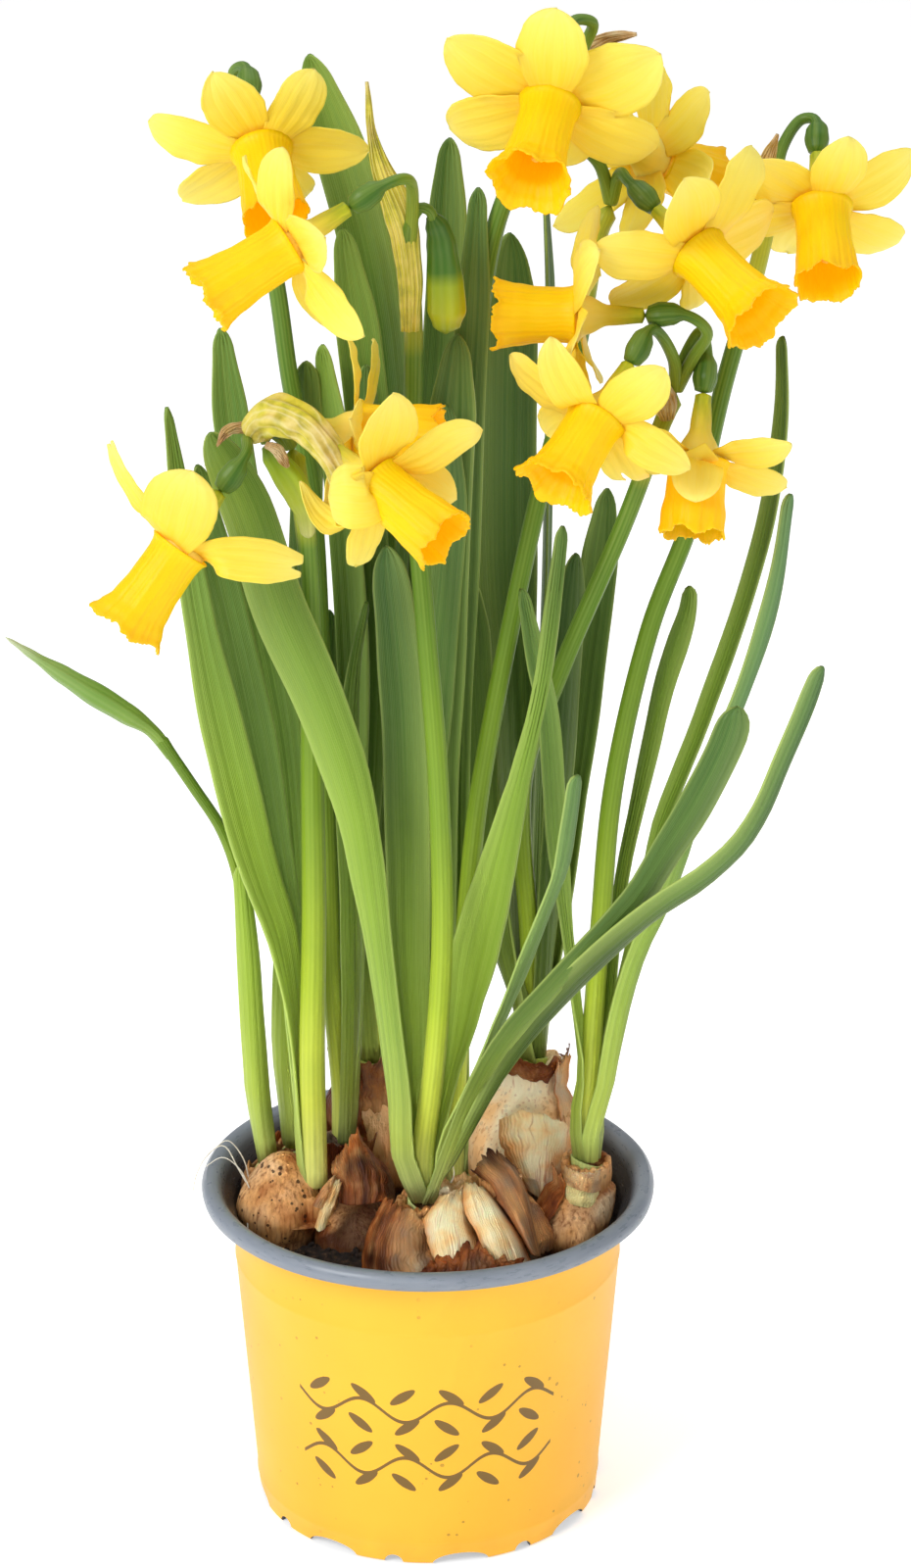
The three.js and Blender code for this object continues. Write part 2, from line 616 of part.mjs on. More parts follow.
function makeStem(name) {
  const { radius, top } = stems[name];
  const curve = stemCurve(name);
  const length = curve.getLength();
  const steps = Math.round(length / stemStep);
  const seated = (2 * sheathRise) / length;
  const even = Array.from({ length: steps }, (_, i) => i / (steps - 1));
  const stations = [0, ...even.map((s) => seated + (1 - seated) * s)];
  const scape = rod(curve, [[0, radius], [1, top]], { sides: 6, stations, flatten: 0.85 });
  const pedicels = blooms.filter((bloom) => bloom.stem === name).map(makePedicel);
  const stalks = Object.values(buds).filter((bud) => bud.stem === name).map(makeStalk);
  return join([scape, ...pedicels, ...stalks]);
}

// Two unit vectors across the bloom's axis, the first the nearest to upright
function across(aim) {
  const upper = new THREE.Vector3(0, 0, 1).addScaledVector(aim, -aim.z).normalize();
  return [upper, new THREE.Vector3().crossVectors(aim, upper)];
}

function makePetal(bloom, k) {
  const aim = aimOf(bloom);
  const [upper, beside] = across(aim);
  const angle = THREE.MathUtils.degToRad(bloom.roll + 60 * k);
  const out = upper.clone().multiplyScalar(Math.cos(angle)).addScaledVector(beside, Math.sin(angle));
  const lean = THREE.MathUtils.degToRad(bloom.lean[k]);
  const inner = k % 2;
  const start = onAxis(bloom, inner ? -innerDepth : -outerDepth).addScaledVector(out, petalRoot);
  const long = bloom.reach[k] - petalRoot;
  const point = (share, bow) => start.clone()
    .addScaledVector(out, long * share * Math.cos(lean * (0.7 + 0.3 * share)))
    .addScaledVector(aim, -long * share * Math.sin(lean * (0.7 + 0.3 * share)) + bow);
  const curve = route([start, point(0.35, 0.7), point(0.7, 0.6), point(1, -0.4)]);
  const wide = bloom.width * (inner ? 0.86 : 1.05);
  const widths = [[0, 0.26], [0.25, 0.74], [0.52, 1], [0.82, 0.74], [1, 0.12]];
  return blade(curve, widths.map(([s]) => s), {
    width: (s) => wide * along(widths, s),
    facing: () => aim,
    thick: () => petalThickness,
  });
}

function makePetals(bloom) {
  const petals = [0, 1, 2, 3, 4, 5].map((k) => makePetal(bloom, k));
  const tube = rod(
    route([onAxis(bloom, -tubeLength), onAxis(bloom, 0)]),
    [[0, 1.9], [0.55, 2.5], [0.85, 5.2], [1, hubRadius]],
    { sides: 6, stations: [0, 0.55, 0.85, 1] },
  );
  return join([tube, ...petals]);
}

// Trumpet: an open cup on the hub with a frilled, flared mouth
function makeTrumpet(bloom) {
  const aim = aimOf(bloom);
  const [upper, beside] = across(aim);
  const outer = [[0, trumpetBase], [0.72, trumpetBase * 1.13], [1, bloom.mouth]];
  const inner = [
    [1, bloom.mouth - trumpetWall], [0.7, trumpetBase * 1.13 - trumpetWall],
    [0.08, trumpetBase - trumpetWall],
  ];
  const ring = ([s, radius]) => {
    const frill = s === 1 ? 1 : 0;
    return Array.from({ length: trumpetPoints }, (_, j) => {
      const turn = (2 * Math.PI * j) / trumpetPoints;
      const wave = frill * (0.07 * Math.cos(trumpetLobes * turn) + (j % 3 === 1 ? 0.05 : 0));
      const height = touch + bloom.long * s + frill * 0.9 * Math.cos(trumpetLobes * turn + 1);
      return onAxis(bloom, height)
        .addScaledVector(upper, radius * (1 + wave) * Math.cos(turn))
        .addScaledVector(beside, radius * (1 + wave) * Math.sin(turn));
    });
  };
  return loft([...outer, ...inner].map(ring));
}

// Buds: two nodding ones on pedicels of their own, and the slim closed spathe on the far-left stem

const buds = {
  bud_nodding: { radius: 4.3, stem: 'stem_front', via: [[-4, -13, 354], [-1, -13, 359]],
    points: [[2, -13, 356], [4, -12, 350], [4, -12, 340], [5, -13, 328]] },
  bud_spent: { radius: 3, stem: 'stem_cluster_left', via: [[-36, -18, 304], [-39, -21, 305]],
    points: [[-39, -22, 302], [-36, -23, 294], [-31, -24, 287], [-30, -24, 272]] },
  bud_spathe: { radius: 4.5, points: [[-70, -2, 219], [-77, -4, 224], [-87, -6, 233], [-96, -8, 240],
    [-106, -10, 247]] },
};

function makeBud({ radius, points }) {
  const shape = [[0, 0.35], [0.15, 0.75], [0.4, 1], [0.7, 0.75], [0.9, 0.4], [1, 0.12]];
  const radii = shape.map(([s, r]) => [s, r * radius]);
  const stations = shape.map(([s]) => s);
  return rod(route(points.map(vector)), radii, { sides: 6, stations, flatten: 0.85 });
}

// Spathes: the papery bracts that the flowers came out of

const spathes = {
  spathe_front: { width: 9, face: -80, points: [[-3, -6, 333], [-4, -5, 348], [-10, -7, 363],
    [-13, -5, 386]] },
  spathe_high_centre: { width: 8, face: -60, points: [[31, 15, 376], [36, 21, 386], [44, 21, 392],
    [52, 20, 394]] },
  spathe_tall_right: { width: 8, face: -90, points: [[45, 12, 343], [46, 8, 342], [49, 4, 343]] },
  spathe_right: { width: 6, face: -90, points: [[84, 18, 350], [84, 16, 360], [87, 15, 370]] },
  spathe_cluster_right: { width: 7, face: -90, points: [[60, -7, 303], [59, -9, 309], [56, -12, 317]] },
  spathe_cluster_left: { width: 9, face: -90, points: [[-37, -32, 316], [-30, -36, 320],
    [-24, -39, 317], [-20, -42, 313]] },
};

function makeSpathe({ width, face, points }) {
  const widths = [[0, 0.5], [0.3, 1], [0.65, 0.8], [0.9, 0.35], [1, 0.1]];
  return blade(route(points.map(vector)), widths.map(([s]) => s), {
    width: (s) => width * along(widths, s),
    facing: () => direction(face),
    thick: () => 0.8,
    channel: 0.5,
  });
}

// Potting soil: fills the pot up to its level, with crumbs rising and falling on top

function makeSoil() {
  const sides = 24;
  const level = ([radius, rough], seed) => Array.from({ length: sides }, (_, j) => {
    const turn = (2 * Math.PI * j) / sides;
    const bump = rough * (Math.sin(5 * turn + seed * 2.1) + Math.sin(9 * turn + seed * 4.7));
    return new THREE.Vector3(radius * Math.cos(turn), radius * Math.sin(turn), soilLevel + bump);
  });
  const wall = [[floorHeight, footRadius - potWall], [potHeight - rimDepth - 2, wallTopRadius - potWall]];
  const inside = (z) => along(wall, z);
  const bottom = floorHeight + potWall + 0.9;
  const base = level([inside(bottom) - 0.6, 0], 0).map((p) => p.setZ(bottom));
  const top = [[inside(soilLevel) - 0.6, 0.3], [45, 0.8], [30, 0.9], [14, 0.8]].map(level);
  return loft([base, ...top]);
}

// Assembly

place('pot', makePot(), materials.pot);

const swollen = {};
for (const [name, noses] of Object.entries(bulbs)) {
  swollen[name] = makeBulb(noses, touch);
}
let soil = makeSoil();
const earlier = [];
for (const [name, noses] of Object.entries(bulbs)) {
  for (const { belly, radius } of noses) {
    const foot = footLevel(belly, radius) - touch;
    soil = soil.subtract(upright(belly[0], belly[1], foot, potHeight, radius * 1.08 + soilGap, bulbSides));
  }
  let bulb = makeBulb(noses);
  for (const other of earlier) {
    bulb = bulb.subtract(swollen[other]);
  }
  for (const shoot of Object.values(shoots).filter(({ bulb: home }) => home === name)) {
    const [x, y, z] = shoot.at;
    const radius = sheathRadius - (shoot.slim ?? 0) + touch;
    bulb = bulb.subtract(upright(x, y, z - sheathDepth - touch, z + 20, radius));
  }
  earlier.push(name);
  place(name, bulb, materials.bulb);
}
place('soil', soil, materials.soil);

for (const [name, shoot] of Object.entries(shoots)) {
  place(name, makeShoot(shoot), materials.leaf);
}
for (const name of Object.keys(stems)) {
  place(name, makeStem(name), materials.stem);
}
blooms.forEach((bloom, i) => {
  const number = String(i + 1).padStart(2, '0');
  place(`petals_${number}`, makePetals(bloom), materials.petal);
  place(`trumpet_${number}`, makeTrumpet(bloom), materials.trumpet);
});
for (const [name, bud] of Object.entries(buds)) {
  place(name, makeBud(bud), materials.bud);
}
for (const [name, spathe] of Object.entries(spathes)) {
  place(name, makeSpathe(spathe), materials.spathe);
}

export default group;
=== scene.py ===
import math
import random

import bpy
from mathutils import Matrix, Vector, noise


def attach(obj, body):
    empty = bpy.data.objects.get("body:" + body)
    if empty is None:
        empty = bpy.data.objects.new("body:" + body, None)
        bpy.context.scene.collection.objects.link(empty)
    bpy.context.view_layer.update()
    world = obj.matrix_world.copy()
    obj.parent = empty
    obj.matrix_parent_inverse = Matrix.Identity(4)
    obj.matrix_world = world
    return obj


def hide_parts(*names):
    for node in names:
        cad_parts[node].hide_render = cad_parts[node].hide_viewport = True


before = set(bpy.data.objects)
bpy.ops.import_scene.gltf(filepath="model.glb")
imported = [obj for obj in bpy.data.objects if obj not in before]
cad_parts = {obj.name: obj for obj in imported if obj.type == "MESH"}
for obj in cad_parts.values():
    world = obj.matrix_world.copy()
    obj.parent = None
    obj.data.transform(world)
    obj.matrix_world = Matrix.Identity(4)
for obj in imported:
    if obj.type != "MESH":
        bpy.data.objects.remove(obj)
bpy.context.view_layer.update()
mm = 0.001
touch = 0.3  # millimetres between pieces that touch
weldGap = 0.00001  # metres
random.seed(7)


# Helpers: lengths in these are millimetres, and newStrip's mesh is in metres

def clearSelection():
    bpy.ops.object.select_all(action="DESELECT")


def pick(pieces):
    clearSelection()
    for piece in pieces:
        piece.select_set(True)
    bpy.context.view_layer.objects.active = pieces[0]


def applyModifier(piece, kind, **settings):
    pick([piece])
    modifier = piece.modifiers.new(kind.title(), kind)
    for key, value in settings.items():
        setattr(modifier, key, value)
    bpy.ops.object.modifier_apply(modifier=modifier.name)


def joinAll(name, pieces):
    pick(pieces)
    if len(pieces) > 1:
        bpy.ops.object.join()
    piece = bpy.context.active_object
    piece.name = name
    piece.data.name = name
    return piece


def blendValue(table, s):
    # value of [[s, value], ...] at s, eased between its entries
    for (s0, v0), (s1, v1) in zip(table, table[1:]):
        if s <= s1:
            t = min(1, max(0, (s - s0) / (s1 - s0)))
            return v0 + (v1 - v0) * t * t * (3 - 2 * t)
    return table[-1][1]


def lineValue(table, s):
    for (s0, v0), (s1, v1) in zip(table, table[1:]):
        if s <= s1:
            return v0 + (v1 - v0) * min(1, max(0, (s - s0) / (s1 - s0)))
    return table[-1][1]


def softNoise(x, y, z, seed=0.0):
    return noise.noise(Vector((x + 11.3 * seed, y - 5.7 * seed, z + 3.1 * seed)))


def heading(azimuth, elevation=0):
    a, e = math.radians(azimuth), math.radians(elevation)
    return Vector((math.cos(e) * math.cos(a), math.cos(e) * math.sin(a), math.sin(e)))


def route(points, steps=20):
    # smooth curve through the points, as close samples with the length reached at each
    spots = [Vector(p) for p in points]
    ends = [2 * spots[0] - spots[1], 2 * spots[-1] - spots[-2]]
    spots = [ends[0], *spots, ends[1]]
    path = []
    for p0, p1, p2, p3 in zip(spots, spots[1:], spots[2:], spots[3:]):
        d0, d1, d2 = [(b - a).length ** 0.5 for a, b in ((p0, p1), (p1, p2), (p2, p3))]
        t1 = ((p1 - p0) / d0 - (p2 - p0) / (d0 + d1) + (p2 - p1) / d1) * d1
        t2 = ((p2 - p1) / d1 - (p3 - p1) / (d1 + d2) + (p3 - p2) / d2) * d1
        for k in range(steps):
            w = k / steps
            path.append(p1 + t1 * w + (3 * (p2 - p1) - 2 * t1 - t2) * w ** 2
                        + (2 * (p1 - p2) + t1 + t2) * w ** 3)
    path.append(spots[-2])
    reached = [0.0]
    for a, b in zip(path, path[1:]):
        reached.append(reached[-1] + (b - a).length)
    return path, reached


def spotAt(curve, s):
    path, reached = curve
    goal = min(1, max(0, s)) * reached[-1]
    low, high = 0, len(path) - 1
    while high - low > 1:
        middle = (low + high) // 2
        if reached[middle] <= goal:
            low = middle
        else:
            high = middle
    share = (goal - reached[low]) / max(reached[high] - reached[low], 1e-9)
    return path[low].lerp(path[high], share)


def wayAt(curve, s, step=0.012):
    return (spotAt(curve, s + step) - spotAt(curve, s - step)).normalized()


def ringSpot(r, turn, z):
    return Vector((r * math.cos(turn), r * math.sin(turn), z))


def newStrip(name, across, along, spot):
    # grid primitive laid out by spot(u, s); its own UV map keeps u across and s along
    clearSelection()
    bpy.ops.mesh.primitive_grid_add(x_subdivisions=across, y_subdivisions=along, size=1)
    piece = bpy.context.active_object
    piece.name = name
    for vertex in piece.data.vertices:
        vertex.co = spot(vertex.co.x + 0.5, vertex.co.y + 0.5) * mm
    piece.data.update()
    return piece


def closeUp(piece):
    # merges the seam and the poles, and turns the faces outwards
    pick([piece])
    bpy.ops.object.mode_set(mode="EDIT")
    bpy.ops.mesh.select_all(action="SELECT")
    bpy.ops.mesh.remove_doubles(threshold=weldGap)
    bpy.ops.mesh.normals_make_consistent(inside=False)
    bpy.ops.object.mode_set(mode="OBJECT")


def newTube(name, curve, radius, sides, rings, flatten=1.0):
    # round piece along a curve, radius(s, turn), closed at its ends, whose section doesn't twist
    side = Vector((1, 0, 0))
    frames = []
    for i in range(rings + 1):
        way = wayAt(curve, i / rings)
        side = (side - way * side.dot(way)).normalized()
        frames.append((spotAt(curve, i / rings), side.copy(), side.cross(way).normalized()))

    def spot(u, s):
        i = round(s * rings)
        centre, beside, front = frames[i]
        turn = 2 * math.pi * u
        r = 0 if i in (0, rings) else radius(s, turn)
        return centre - beside * (r * math.cos(turn)) + front * (r * flatten * math.sin(turn))

    piece = newStrip(name, sides, rings, spot)
    closeUp(piece)
    return piece


def markAll(piece, name, value):
    # a number on every point, that a material can read; value may depend on the point
    layer = piece.data.attributes.new(name, "FLOAT", "POINT")
    for vertex, entry in zip(piece.data.vertices, layer.data):
        entry.value = value(vertex.co / mm) if callable(value) else value


def markAlong(piece, name, value):
    # a number on every point of a strip, from value(u, s)
    layer = piece.data.attributes.new(name, "FLOAT", "POINT")
    places = piece.data.uv_layers.active.data
    for loop in piece.data.loops:
        layer.data[loop.vertex_index].value = value(*places[loop.index].uv)


def thicken(piece, thickness, least=None, **settings):
    if least is not None:
        settings.update(vertex_group="body", thickness_vertex_group=least)
    applyModifier(piece, "SOLIDIFY", thickness=thickness * mm, **{"offset": 0, **settings})


def weigh(piece, weight):
    # weight(u, s) of the strip's points, by their UV, for a thickness that varies
    group = piece.vertex_groups.new(name="body")
    layer = piece.data.uv_layers.active.data
    for loop in piece.data.loops:
        u, s = layer[loop.index].uv
        group.add([loop.vertex_index], weight(u, s), "REPLACE")


def finish(piece, materials, node=None, angle=None):
    pick([piece])
    if angle is None:
        bpy.ops.object.shade_smooth()
    else:
        bpy.ops.object.shade_smooth_by_angle(angle=math.radians(angle))
    if len(piece.data.materials) == 0:
        for material in materials:
            piece.data.materials.append(material)
    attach(piece, "root")
    if node:
        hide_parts(node)


# Material helpers

def tone(text):
    # linear colour of a "#rrggbb" text
    parts = [int(text[i:i + 2], 16) / 255 for i in (1, 3, 5)]
    return (*[c / 12.92 if c <= 0.04045 else ((c + 0.055) / 1.055) ** 2.4 for c in parts], 1)


def addNode(tree, kind, inputs=None, **settings):
    node = tree.nodes.new("ShaderNode" + kind)
    for key, value in settings.items():
        setattr(node, key, value)
    for key, value in (inputs or {}).items():
        if isinstance(value, bpy.types.NodeSocket):
            tree.links.new(value, node.inputs[key])
        else:
            node.inputs[key].default_value = value
    return node


def calc(tree, operation, first, second=0.0, third=0.0, clamp=False):
    node = addNode(tree, "Math", {0: first, 1: second, 2: third}, operation=operation)
    node.use_clamp = clamp
    return node.outputs[0]


def times(tree, first, second, clamp=False):
    return calc(tree, "MULTIPLY", first, second, clamp=clamp)


def scaled(tree, vector, scale):
    return addNode(tree, "Mapping", {"Vector": vector, "Scale": scale}).outputs[0]


def ramp(tree, value, stops):
    node = addNode(tree, "ValToRGB", {"Fac": value})
    elements = node.color_ramp.elements
    while len(elements) < len(stops):
        elements.new(0.5)
    for element, (place, colour) in zip(elements, stops):
        element.position = place
        element.color = tone(colour)
    return node.outputs[0]


def blendTones(tree, mask, first, second):
    node = addNode(tree, "Mix", data_type="RGBA")
    for key, value in ((0, mask), (6, first), (7, second)):
        if isinstance(value, bpy.types.NodeSocket):
            tree.links.new(value, node.inputs[key])
        else:
            node.inputs[key].default_value = tone(value) if isinstance(value, str) else value
    return node.outputs[2]


def tint(tree, colour, mask, share, shade, clamp=False):
    # the colour, with that share of the shade where the mask is 1
    return blendTones(tree, times(tree, mask, share, clamp=clamp), colour, shade)


def objectSpot(tree):
    # the place on the object in millimetres
    spot = addNode(tree, "TexCoord").outputs["Object"]
    return scaled(tree, spot, (1000, 1000, 1000))


def uvSpot(tree):
    return addNode(tree, "TexCoord").outputs["UV"]


def attribute(tree, name):
    return addNode(tree, "Attribute", attribute_name=name).outputs["Fac"]


def part(tree, vector, axis):
    return addNode(tree, "SeparateXYZ", {0: vector}).outputs[axis]


def newGroup(name, inputs, outputs):
    group = bpy.data.node_groups.new(name, "ShaderNodeTree")
    for title, kind, value in inputs:
        socket = group.interface.new_socket(title, in_out="INPUT", socket_type="NodeSocket" + kind)
        if value is not None:
            socket.default_value = value
    for title, kind in outputs:
        group.interface.new_socket(title, in_out="OUTPUT", socket_type="NodeSocket" + kind)
    return group, group.nodes.new("NodeGroupInput"), group.nodes.new("NodeGroupOutput")


def useGroup(tree, group, **inputs):
    node = tree.nodes.new("ShaderNodeGroup")
    node.node_tree = group
    for key, value in inputs.items():
        if isinstance(value, bpy.types.NodeSocket):
            tree.links.new(value, node.inputs[key])
        else:
            node.inputs[key].default_value = value
    return node.outputs


def makeMottle():
    # cloudy patches from 0 to 1, at one scale with a finer one in it
    group, given, out = newGroup(
        "mottle", [("Spot", "Vector", None), ("Scale", "Float", 1.0), ("Contrast", "Float", 1.0)],
        [("Mask", "Float")])
    base = addNode(group, "TexNoise", {"Vector": given.outputs["Spot"],
                                       "Scale": given.outputs["Scale"], "Detail": 5.0})
    mask = calc(group, "SUBTRACT", base.outputs[0], 0.5)
    mask = times(group, mask, given.outputs["Contrast"])
    mask = calc(group, "ADD", mask, 0.5, clamp=True)
    group.links.new(mask, out.inputs[0])
    return group


def makeVeins():
    # thin lines that run along a blade, from its UV map: count lines across, wavering a little
    group, given, out = newGroup(
        "veins", [("Uv", "Vector", None), ("Count", "Float", 20.0), ("Waver", "Float", 0.3)],
        [("Mask", "Float"), ("Streak", "Float")])
    apart = addNode(group, "SeparateXYZ", {0: given.outputs["Uv"]})
    drift = addNode(group, "TexNoise", {"Vector": scaled(group, given.outputs["Uv"], (3, 4, 1)),
                                        "Scale": 1.0, "Detail": 2.0}).outputs[0]
    drift = times(group, calc(group, "SUBTRACT", drift, 0.5), given.outputs["Waver"])
    across = times(group, apart.outputs[0], given.outputs["Count"])
    across = calc(group, "ADD", across, drift)
    wave = calc(group, "SINE", times(group, across, 2 * math.pi))
    mask = calc(group, "MULTIPLY_ADD", wave, 0.5, 0.5)
    group.links.new(mask, out.inputs["Mask"])
    lane = addNode(group, "CombineXYZ", {0: across, 1: times(group, apart.outputs[1], 2.0)})
    streak = addNode(group, "TexNoise", {"Vector": lane.outputs[0], "Scale": 0.9, "Detail": 3.0})
    streak = calc(group, "MULTIPLY_ADD", streak.outputs[0], 2.4, -0.7, clamp=True)
    group.links.new(streak, out.inputs["Streak"])
    return group


def makeSpecks():
    # scattered small round spots of uneven size
    group, given, out = newGroup(
        "specks", [("Spot", "Vector", None), ("Scale", "Float", 1.0), ("Size", "Float", 0.15),
                   ("Share", "Float", 0.4)],
        [("Mask", "Float")])
    cells = addNode(group, "TexVoronoi", {"Vector": given.outputs["Spot"],
                                          "Scale": given.outputs["Scale"]})
    pickOut = part(group, cells.outputs["Color"], 0)
    size = times(group, given.outputs["Size"], pickOut)
    near = calc(group, "LESS_THAN", cells.outputs["Distance"], size)
    few = calc(group, "LESS_THAN", part(group, cells.outputs["Color"], 1), given.outputs["Share"])
    group.links.new(times(group, near, few), out.inputs[0])
    return group


mottle, veins, specks = makeMottle(), makeVeins(), makeSpecks()


def cloudy(tree, spot, scale, contrast):
    return useGroup(tree, mottle, Spot=spot, Scale=scale, Contrast=contrast)[0]


def newMaterial(name, roughness=0.5, **sockets):
    material = bpy.data.materials.new(name)
    material.use_nodes = True
    tree = material.node_tree
    shader = tree.nodes["Principled BSDF"]
    shader.inputs["Roughness"].default_value = roughness
    for key, value in sockets.items():
        shader.inputs[key.replace("_", " ")].default_value = value
    return material, tree, shader


def wire(tree, shader, colour=None, rough=None, height=None, strength=0.4, distance=0.2):
    if colour is not None:
        tree.links.new(colour, shader.inputs["Base Color"])
    if rough is not None:
        tree.links.new(rough, shader.inputs["Roughness"])
    if height is not None:
        bump = addNode(tree, "Bump", {"Height": height, "Strength": strength,
                                      "Distance": distance * mm})
        tree.links.new(bump.outputs[0], shader.inputs["Normal"])


print("helpers ready")

# Pot: a thin blow-moulded nursery pot, printed yellow outside and grey inside, with a rolled grey rim

pot = {
    "height": 92, "rimRadius": 60, "rimDepth": 6, "wallTopRadius": 52, "footRadius": 45.5, "wall": 1.2,
    "floor": 5, "padRadius": 15, "sides": 144, "archCount": 8, "archWidth": 15, "archRise": 3,
    "notchWidth": 5, "notchRise": 2.4, "drainCount": 5, "drainRadius": 4, "drainCircle": 31,
    "ridges": [6.2, 70.6], "cutterDepth": 6.2, "drainDepth": 16, "soilAndShadeRadius": 56.0, "soilAndShadeTop": 90.4,
    "wornHeight": 12.0, "wobble": 0.35, "yellow": "#ffbf2a", "yellowDeep": "#f7b120", "worn": "#b98a24",
    "ink": "#5c4519", "dirt": "#7b5a1c", "grey": "#6b737e", "greyPale": "#878e99", "scuff": "#a9b0b8",
    "crumb": "#4a4038", "inner": "#1f1a18",
}


def makePotMaterials():
    grey, tree, shader = newMaterial("rimGrey", 0.38)
    spot = objectSpot(tree)
    cloud = cloudy(tree, spot, 0.03, 1.4)
    scuff = cloudy(tree, scaled(tree, spot, (1, 1, 6)), 0.25, 2.0)
    colour = blendTones(tree, cloud, pot["grey"], pot["greyPale"])
    colour = tint(tree, colour, scuff, 0.16, pot["scuff"])
    dirt = useGroup(tree, specks, Spot=spot, Scale=0.2, Size=0.1, Share=0.05)[0]
    colour = tint(tree, colour, dirt, 0.6, pot["crumb"])
    rough = calc(tree, "MULTIPLY_ADD", scuff, 0.2, 0.22)
    # soil on the inner wall below the rim, and painted shade: darker further in and further down
    radius = addNode(tree, "VectorMath", {0: scaled(tree, spot, (1, 1, 0))}, operation="LENGTH")
    inner = calc(tree, "SUBTRACT", pot["soilAndShadeRadius"], radius.outputs["Value"])
    below = calc(tree, "SUBTRACT", pot["soilAndShadeTop"], part(tree, spot, 2))
    below = times(tree, below, 0.4, clamp=True)
    soilAndShade = times(tree, times(tree, inner, 0.7, clamp=True), below)
    colour = tint(tree, colour, soilAndShade, 0.9, pot["inner"])
    wire(tree, shader, colour, rough, scuff, 0.06, 0.1)

    yellow, tree, shader = newMaterial("potYellow", 0.42)
    spot = objectSpot(tree)
    apart = addNode(tree, "SeparateXYZ", {0: spot})
    cloud = cloudy(tree, spot, 0.022, 1.6)
    colour = blendTones(tree, cloud, pot["yellow"], pot["yellowDeep"])
    # worn, slightly browner foot
    low = calc(tree, "SUBTRACT", pot["wornHeight"], apart.outputs[2])
    low = times(tree, low, 0.08, clamp=True)
    grime = cloudy(tree, spot, 0.12, 2.4)
    colour = tint(tree, colour, times(tree, low, grime), 0.35, pot["worn"])
    # small clinging specks of soil
    patch = cloudy(tree, spot, 0.045, 7.0)
    patch = times(tree, calc(tree, "SUBTRACT", patch, 0.45), 1.8, clamp=True)
    dots = useGroup(tree, specks, Spot=spot, Scale=0.5, Size=0.3, Share=0.2)[0]
    colour = tint(tree, colour, times(tree, dots, patch), 0.55, pot["dirt"])
    colour = blendTones(tree, printMask(tree, apart), colour, pot["ink"])
    rough = calc(tree, "MULTIPLY_ADD", cloud, 0.12, 0.36)
    fine = cloudy(tree, scaled(tree, spot, (1, 1, 3)), 0.16, 1.0)
    wire(tree, shader, colour, rough, fine, 0.12, 0.4)
    return yellow, grey


ornament = {
    "radius": 49.0, "levels": (47.0, 30.0), "wave": 23, "swing": 3.0, "line": 0.55, "limit": 36.2,
    "leafOff": 4.6, "leafAlong": 5.2, "leafLong": 4.0, "leafWide": 1.35, "ink": 0.92,
}


def printMask(tree, apart):
    # plain ornament printed on the front: two waving stalks, each with a leaf at every crest and trough
    turn = calc(tree, "ARCTAN2", apart.outputs[0], times(tree, apart.outputs[1], -1.0))
    run = times(tree, turn, ornament["radius"])
    half = ornament["wave"] / 2
    total = None
    for level, swing in zip(ornament["levels"], (1.0, -1.0)):
        phase = times(tree, run, 2 * math.pi / ornament["wave"])
        wave = times(tree, calc(tree, "SINE", phase), ornament["swing"] * swing)
        above = calc(tree, "SUBTRACT", apart.outputs[2], level)
        gap = calc(tree, "ABSOLUTE", calc(tree, "SUBTRACT", above, wave))
        line = calc(tree, "LESS_THAN", gap, ornament["line"])
        for shift, side in ((0.0, swing), (half, -swing)):
            cell = calc(tree, "PINGPONG", calc(tree, "ADD", run, half + shift), half)
            cell = calc(tree, "SUBTRACT", cell, ornament["leafAlong"])
            rise = calc(tree, "SUBTRACT", above, side * ornament["leafOff"])
            tilted = calc(tree, "ADD", times(tree, cell, 0.8), times(tree, rise, 0.6 * side))
            crossed = calc(tree, "SUBTRACT", times(tree, rise, 0.8), times(tree, cell, 0.6 * side))
            tilted = calc(tree, "ABSOLUTE", calc(tree, "DIVIDE", tilted, ornament["leafLong"]))
            crossed = calc(tree, "ABSOLUTE", calc(tree, "DIVIDE", crossed, ornament["leafWide"]))
            bent = calc(tree, "ADD", calc(tree, "POWER", tilted, 1.6), calc(tree, "POWER", crossed, 2.0))
            line = calc(tree, "MAXIMUM", line, calc(tree, "LESS_THAN", bent, 1.0))
        total = line if total is None else calc(tree, "MAXIMUM", total, line)
    inside = calc(tree, "LESS_THAN", calc(tree, "ABSOLUTE", run), ornament["limit"])
    return times(tree, times(tree, total, inside), ornament["ink"])


